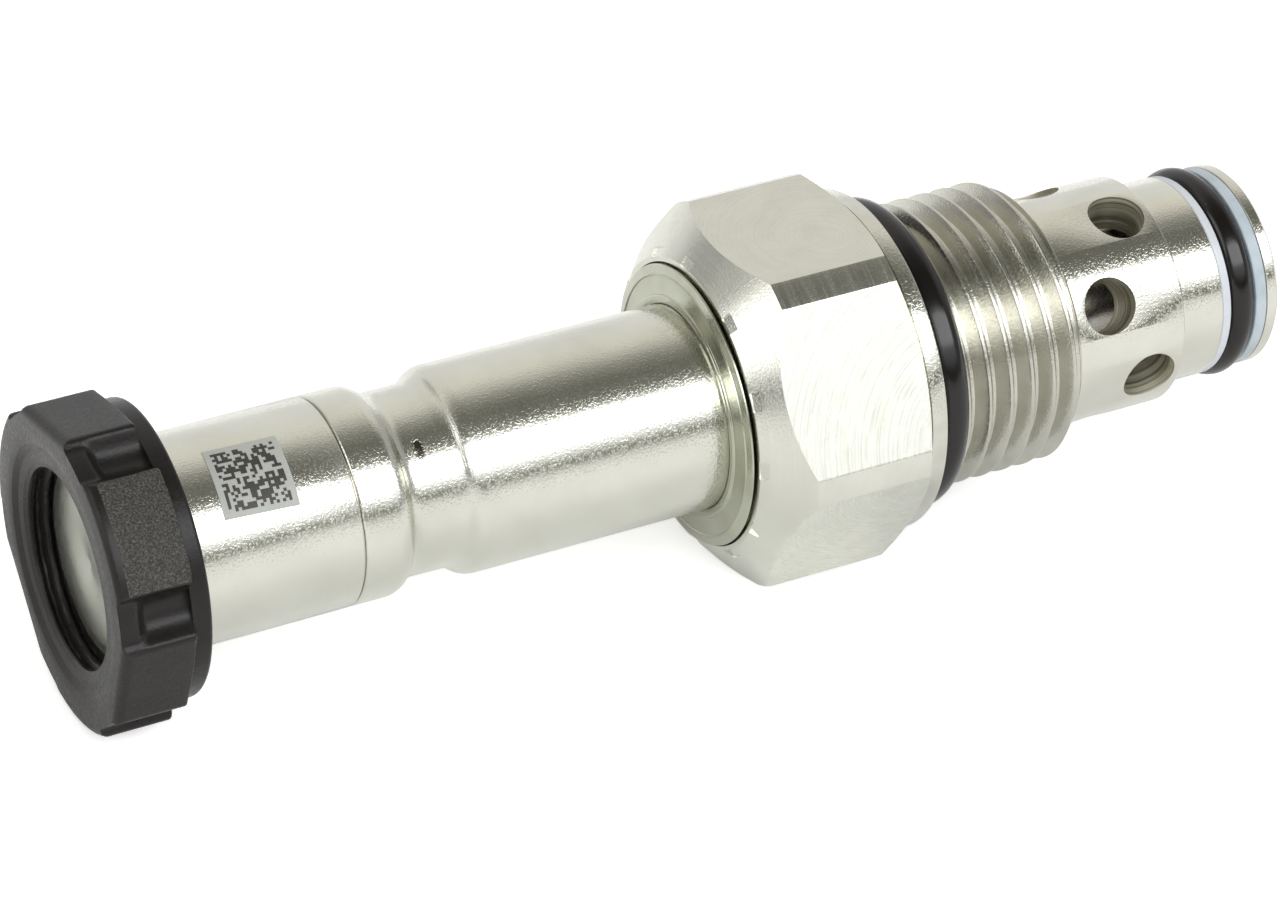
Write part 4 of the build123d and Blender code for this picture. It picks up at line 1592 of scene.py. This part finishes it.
@dataclass(frozen=True)
class Studio:
    """Pale floor, soft light and the photograph's camera."""

    right: tuple[float, float, float] = (0.8905, -0.45450098, 0.01904923)
    down: tuple[float, float, float] = (-0.2391, -0.50321729, -0.8304559)
    forward: tuple[float, float, float] = (0.387, 0.73502971, -0.55676823)
    place_mm: tuple[float, float, float] = (-136.305, -229.697, 171.568)
    lens_mm: float = 144.06
    floor_half_mm: float = 1500.0
    floor_code: str = "#F4F4F3"
    floor_glow: float = 0.46
    floor_glow_in_metal: float = 0.19
    nut_contact_x: float = -52.45
    # painted shadow under the valve: distances from the axis over which the floor's glow in
    # reflections grows from nothing to full
    floor_painted_shade_mm: tuple[float, float] = (12.5, 32.0)
    brightest: float = 4.6
    ends: tuple[float, float, float] = (0.66, 0.84, 0.50)
    areas: tuple[tuple[tuple[float, float, float], float, float, float], ...] = (
        ((-0.64, 0.72, 0.26), 0.46, 22, 8), ((-0.88, 0.46, 0.10), 0.22, 20, 10),
        ((-0.93, 0.04, 0.36), 2.2, 19, 12), ((-0.985, 0.13, 0.02), 1.3, 12, 6),
        ((-0.955, -0.30, 0.05), 0.35, 14, 6))
    bands: tuple[tuple[float, float, Cast], ...] = (
        (0, 1.05, Cast.NEUTRAL), (2.5, 0.98, Cast.NEUTRAL), (6.5, 0.32, Cast.OLIVE),
        (11, 0.20, Cast.OLIVE), (14.5, 0.50, Cast.OLIVE), (18.5, 1.05, Cast.COOL),
        (23, 1.42, Cast.COOL), (28, 1.7, Cast.COOL), (32, 4.5, Cast.COOL), (52, 4.5, Cast.COOL),
        (56, 1.6, Cast.COOL), (60, 0.42, Cast.OLIVE), (63, 0.24, Cast.OLIVE), (72, 0.19, Cast.OLIVE),
        (85, 0.17, Cast.OLIVE), (94, 0.25, Cast.OLIVE), (103, 0.38, Cast.WARM),
        (113, 0.66, Cast.WARM), (123, 0.87, Cast.WARM), (135, 0.92, Cast.WARM),
        (155, 0.93, Cast.NEUTRAL), (180, 0.92, Cast.NEUTRAL))

    def camera(self) -> None:
        """Puts the camera where the photograph was taken from."""
        data = bpy.data.cameras.new("photo_camera")
        data.lens, data.sensor_width, data.sensor_fit = self.lens_mm, 36.0, "HORIZONTAL"
        data.clip_start, data.clip_end = 0.01, 20.0
        made = bpy.data.objects.new("photo_camera", data)
        rows = (self.right, [-v for v in self.down], [-v for v in self.forward])
        turn = Matrix(rows).transposed()
        made.matrix_world = Matrix.Translation(Vector(self.place_mm) * MM) @ turn.to_4x4()
        bpy.context.scene.collection.objects.link(made)
        bpy.context.scene.camera = made

    def grey(self, level: float) -> list[float]:
        """A grey of the world's colour that shines at this level."""
        return [level / self.brightest] * 3 + [1.0]

    def world(self) -> None:
        """Soft boxes as bands of brightness round the valve's axis: a key light in front and above,
        with a dark gap under it and one overhead, and a pale wall behind. The round areas past the
        nut are a lamp and dark gaps beside it, each with its level and its outer and inner angle."""
        world = bpy.data.worlds.new("studio")
        bpy.context.scene.world = world
        world.use_nodes = True
        tree = world.node_tree
        look = add(tree, "ShaderNodeTexCoord")
        parts = add(tree, "ShaderNodeSeparateXYZ", {0: look.outputs["Generated"]})
        forward = maths(tree, "MULTIPLY", parts.outputs["Y"], -1.0)
        turn = maths(tree, "ARCTAN2", parts.outputs["Z"], forward)
        share = ranged(tree, turn, 0.0, math.pi, 0.0, 1.0)
        ramp = add(tree, "ShaderNodeValToRGB", {0: share})
        ramp.color_ramp.interpolation = "EASE"
        stops = ramp.color_ramp.elements
        for k, (degrees, value, cast) in enumerate(self.bands):
            stop = stops[k] if k < 2 else stops.new(degrees / 180)
            stop.position = degrees / 180
            stop.color = (*(value / self.brightest * part for part in cast.value), 1.0)
        side = maths(tree, "ABSOLUTE", parts.outputs["X"])
        inner, outer, level = self.ends
        ends = ranged(tree, side, inner, outer, 0.0, 1.0, smooth=True)
        light = blend(tree, ends, ramp.outputs[0], self.grey(level))
        for spot, level, outer, inner in self.areas:
            facing = add(tree, "ShaderNodeVectorMath", {
                0: look.outputs["Generated"], 1: Vector(spot).normalized()}, operation="DOT_PRODUCT")
            mask = ranged(tree, facing.outputs["Value"], math.cos(math.radians(outer)),
                          math.cos(math.radians(inner)), 0.0, 1.0, smooth=True)
            light = blend(tree, mask, light, self.grey(level))
        rays = add(tree, "ShaderNodeLightPath")
        shown = blend(tree, rays.outputs["Is Camera Ray"], light, self.grey(1.0))
        tree.links.new(shown, tree.nodes["Background"].inputs["Color"])
        tree.nodes["Background"].inputs["Strength"].default_value = self.brightest

    def floor(self) -> None:
        """A pale floor under the hexagon's edge and the nut, as the valve lies on it."""
        body, nut = span("valve_body"), span("coil_nut")
        edge_x = ThreadedBody.bevel_end
        tilt = math.atan2(nut.low - body.low, edge_x - self.nut_contact_x)
        mesh = bpy.data.meshes.new("floor")
        half = self.floor_half_mm
        corners = [(-half, -half), (half, -half), (half, half), (-half, half)]
        height = body.low - 0.01
        points = [((x + edge_x) * MM, y * MM, (height - x * math.tan(tilt)) * MM)
                  for x, y in corners]
        mesh.from_pydata(points, [], [(0, 1, 2, 3)])
        made = bpy.data.objects.new("floor", mesh)
        bpy.context.scene.collection.objects.link(made)
        tree, shader, material = blank_material("pale_paper")
        at = axial(tree)
        fibres = noise(tree, at.place, 0.8, 3.0)
        tint = blend(tree, ranged(tree, fibres, *MIDDLE, 0.0, 0.03), colour(self.floor_code),
                     colour("#D8D8D6"))
        tree.links.new(tint, shader.inputs["Base Color"])
        shader.inputs["Roughness"].default_value = 0.9
        shader.inputs["Specular IOR Level"].default_value = 0.0
        rays = add(tree, "ShaderNodeLightPath")
        bent = maths(tree, "MAXIMUM", rays.outputs["Is Glossy Ray"],
                     rays.outputs["Is Transmission Ray"])
        # painted shadow: in reflections the floor glows less near the valve's axis, as if shaded by
        # it
        dark, bright = self.floor_painted_shade_mm
        glow = maths(tree, "MAXIMUM",
                     maths(tree, "MULTIPLY", rays.outputs["Is Camera Ray"], self.floor_glow),
                     maths(tree, "MULTIPLY", bent, ranged(
                         tree, at.r, dark, bright, 0.0, self.floor_glow_in_metal, smooth=True)))
        tree.links.new(glow, shader.inputs["Emission Strength"])
        shader.inputs["Emission Color"].default_value = (1.0, 1.0, 1.0, 1.0)
        made.data.materials.append(material)

    def build(self) -> None:
        """Sets the whole studio."""
        self.camera()
        self.world()
        self.floor()
        bpy.context.scene.view_settings.view_transform = "Standard"


def main() -> None:
    """Builds the valve's pieces in order, then the studio."""
    logging.basicConfig(level=logging.INFO, format="%(name)s: %(message)s")
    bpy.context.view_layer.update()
    finishes = Finishes()
    ThreadedBody().build(finishes)
    PortedCage().build(finishes)
    Seals().build(finishes)
    PoppetCore().build(finishes)
    ArmatureTube().build(finishes)
    CodeLabel().build(finishes)
    CoilNut().build(finishes)
    Studio().build()


if __name__ == "__main__":
    main()
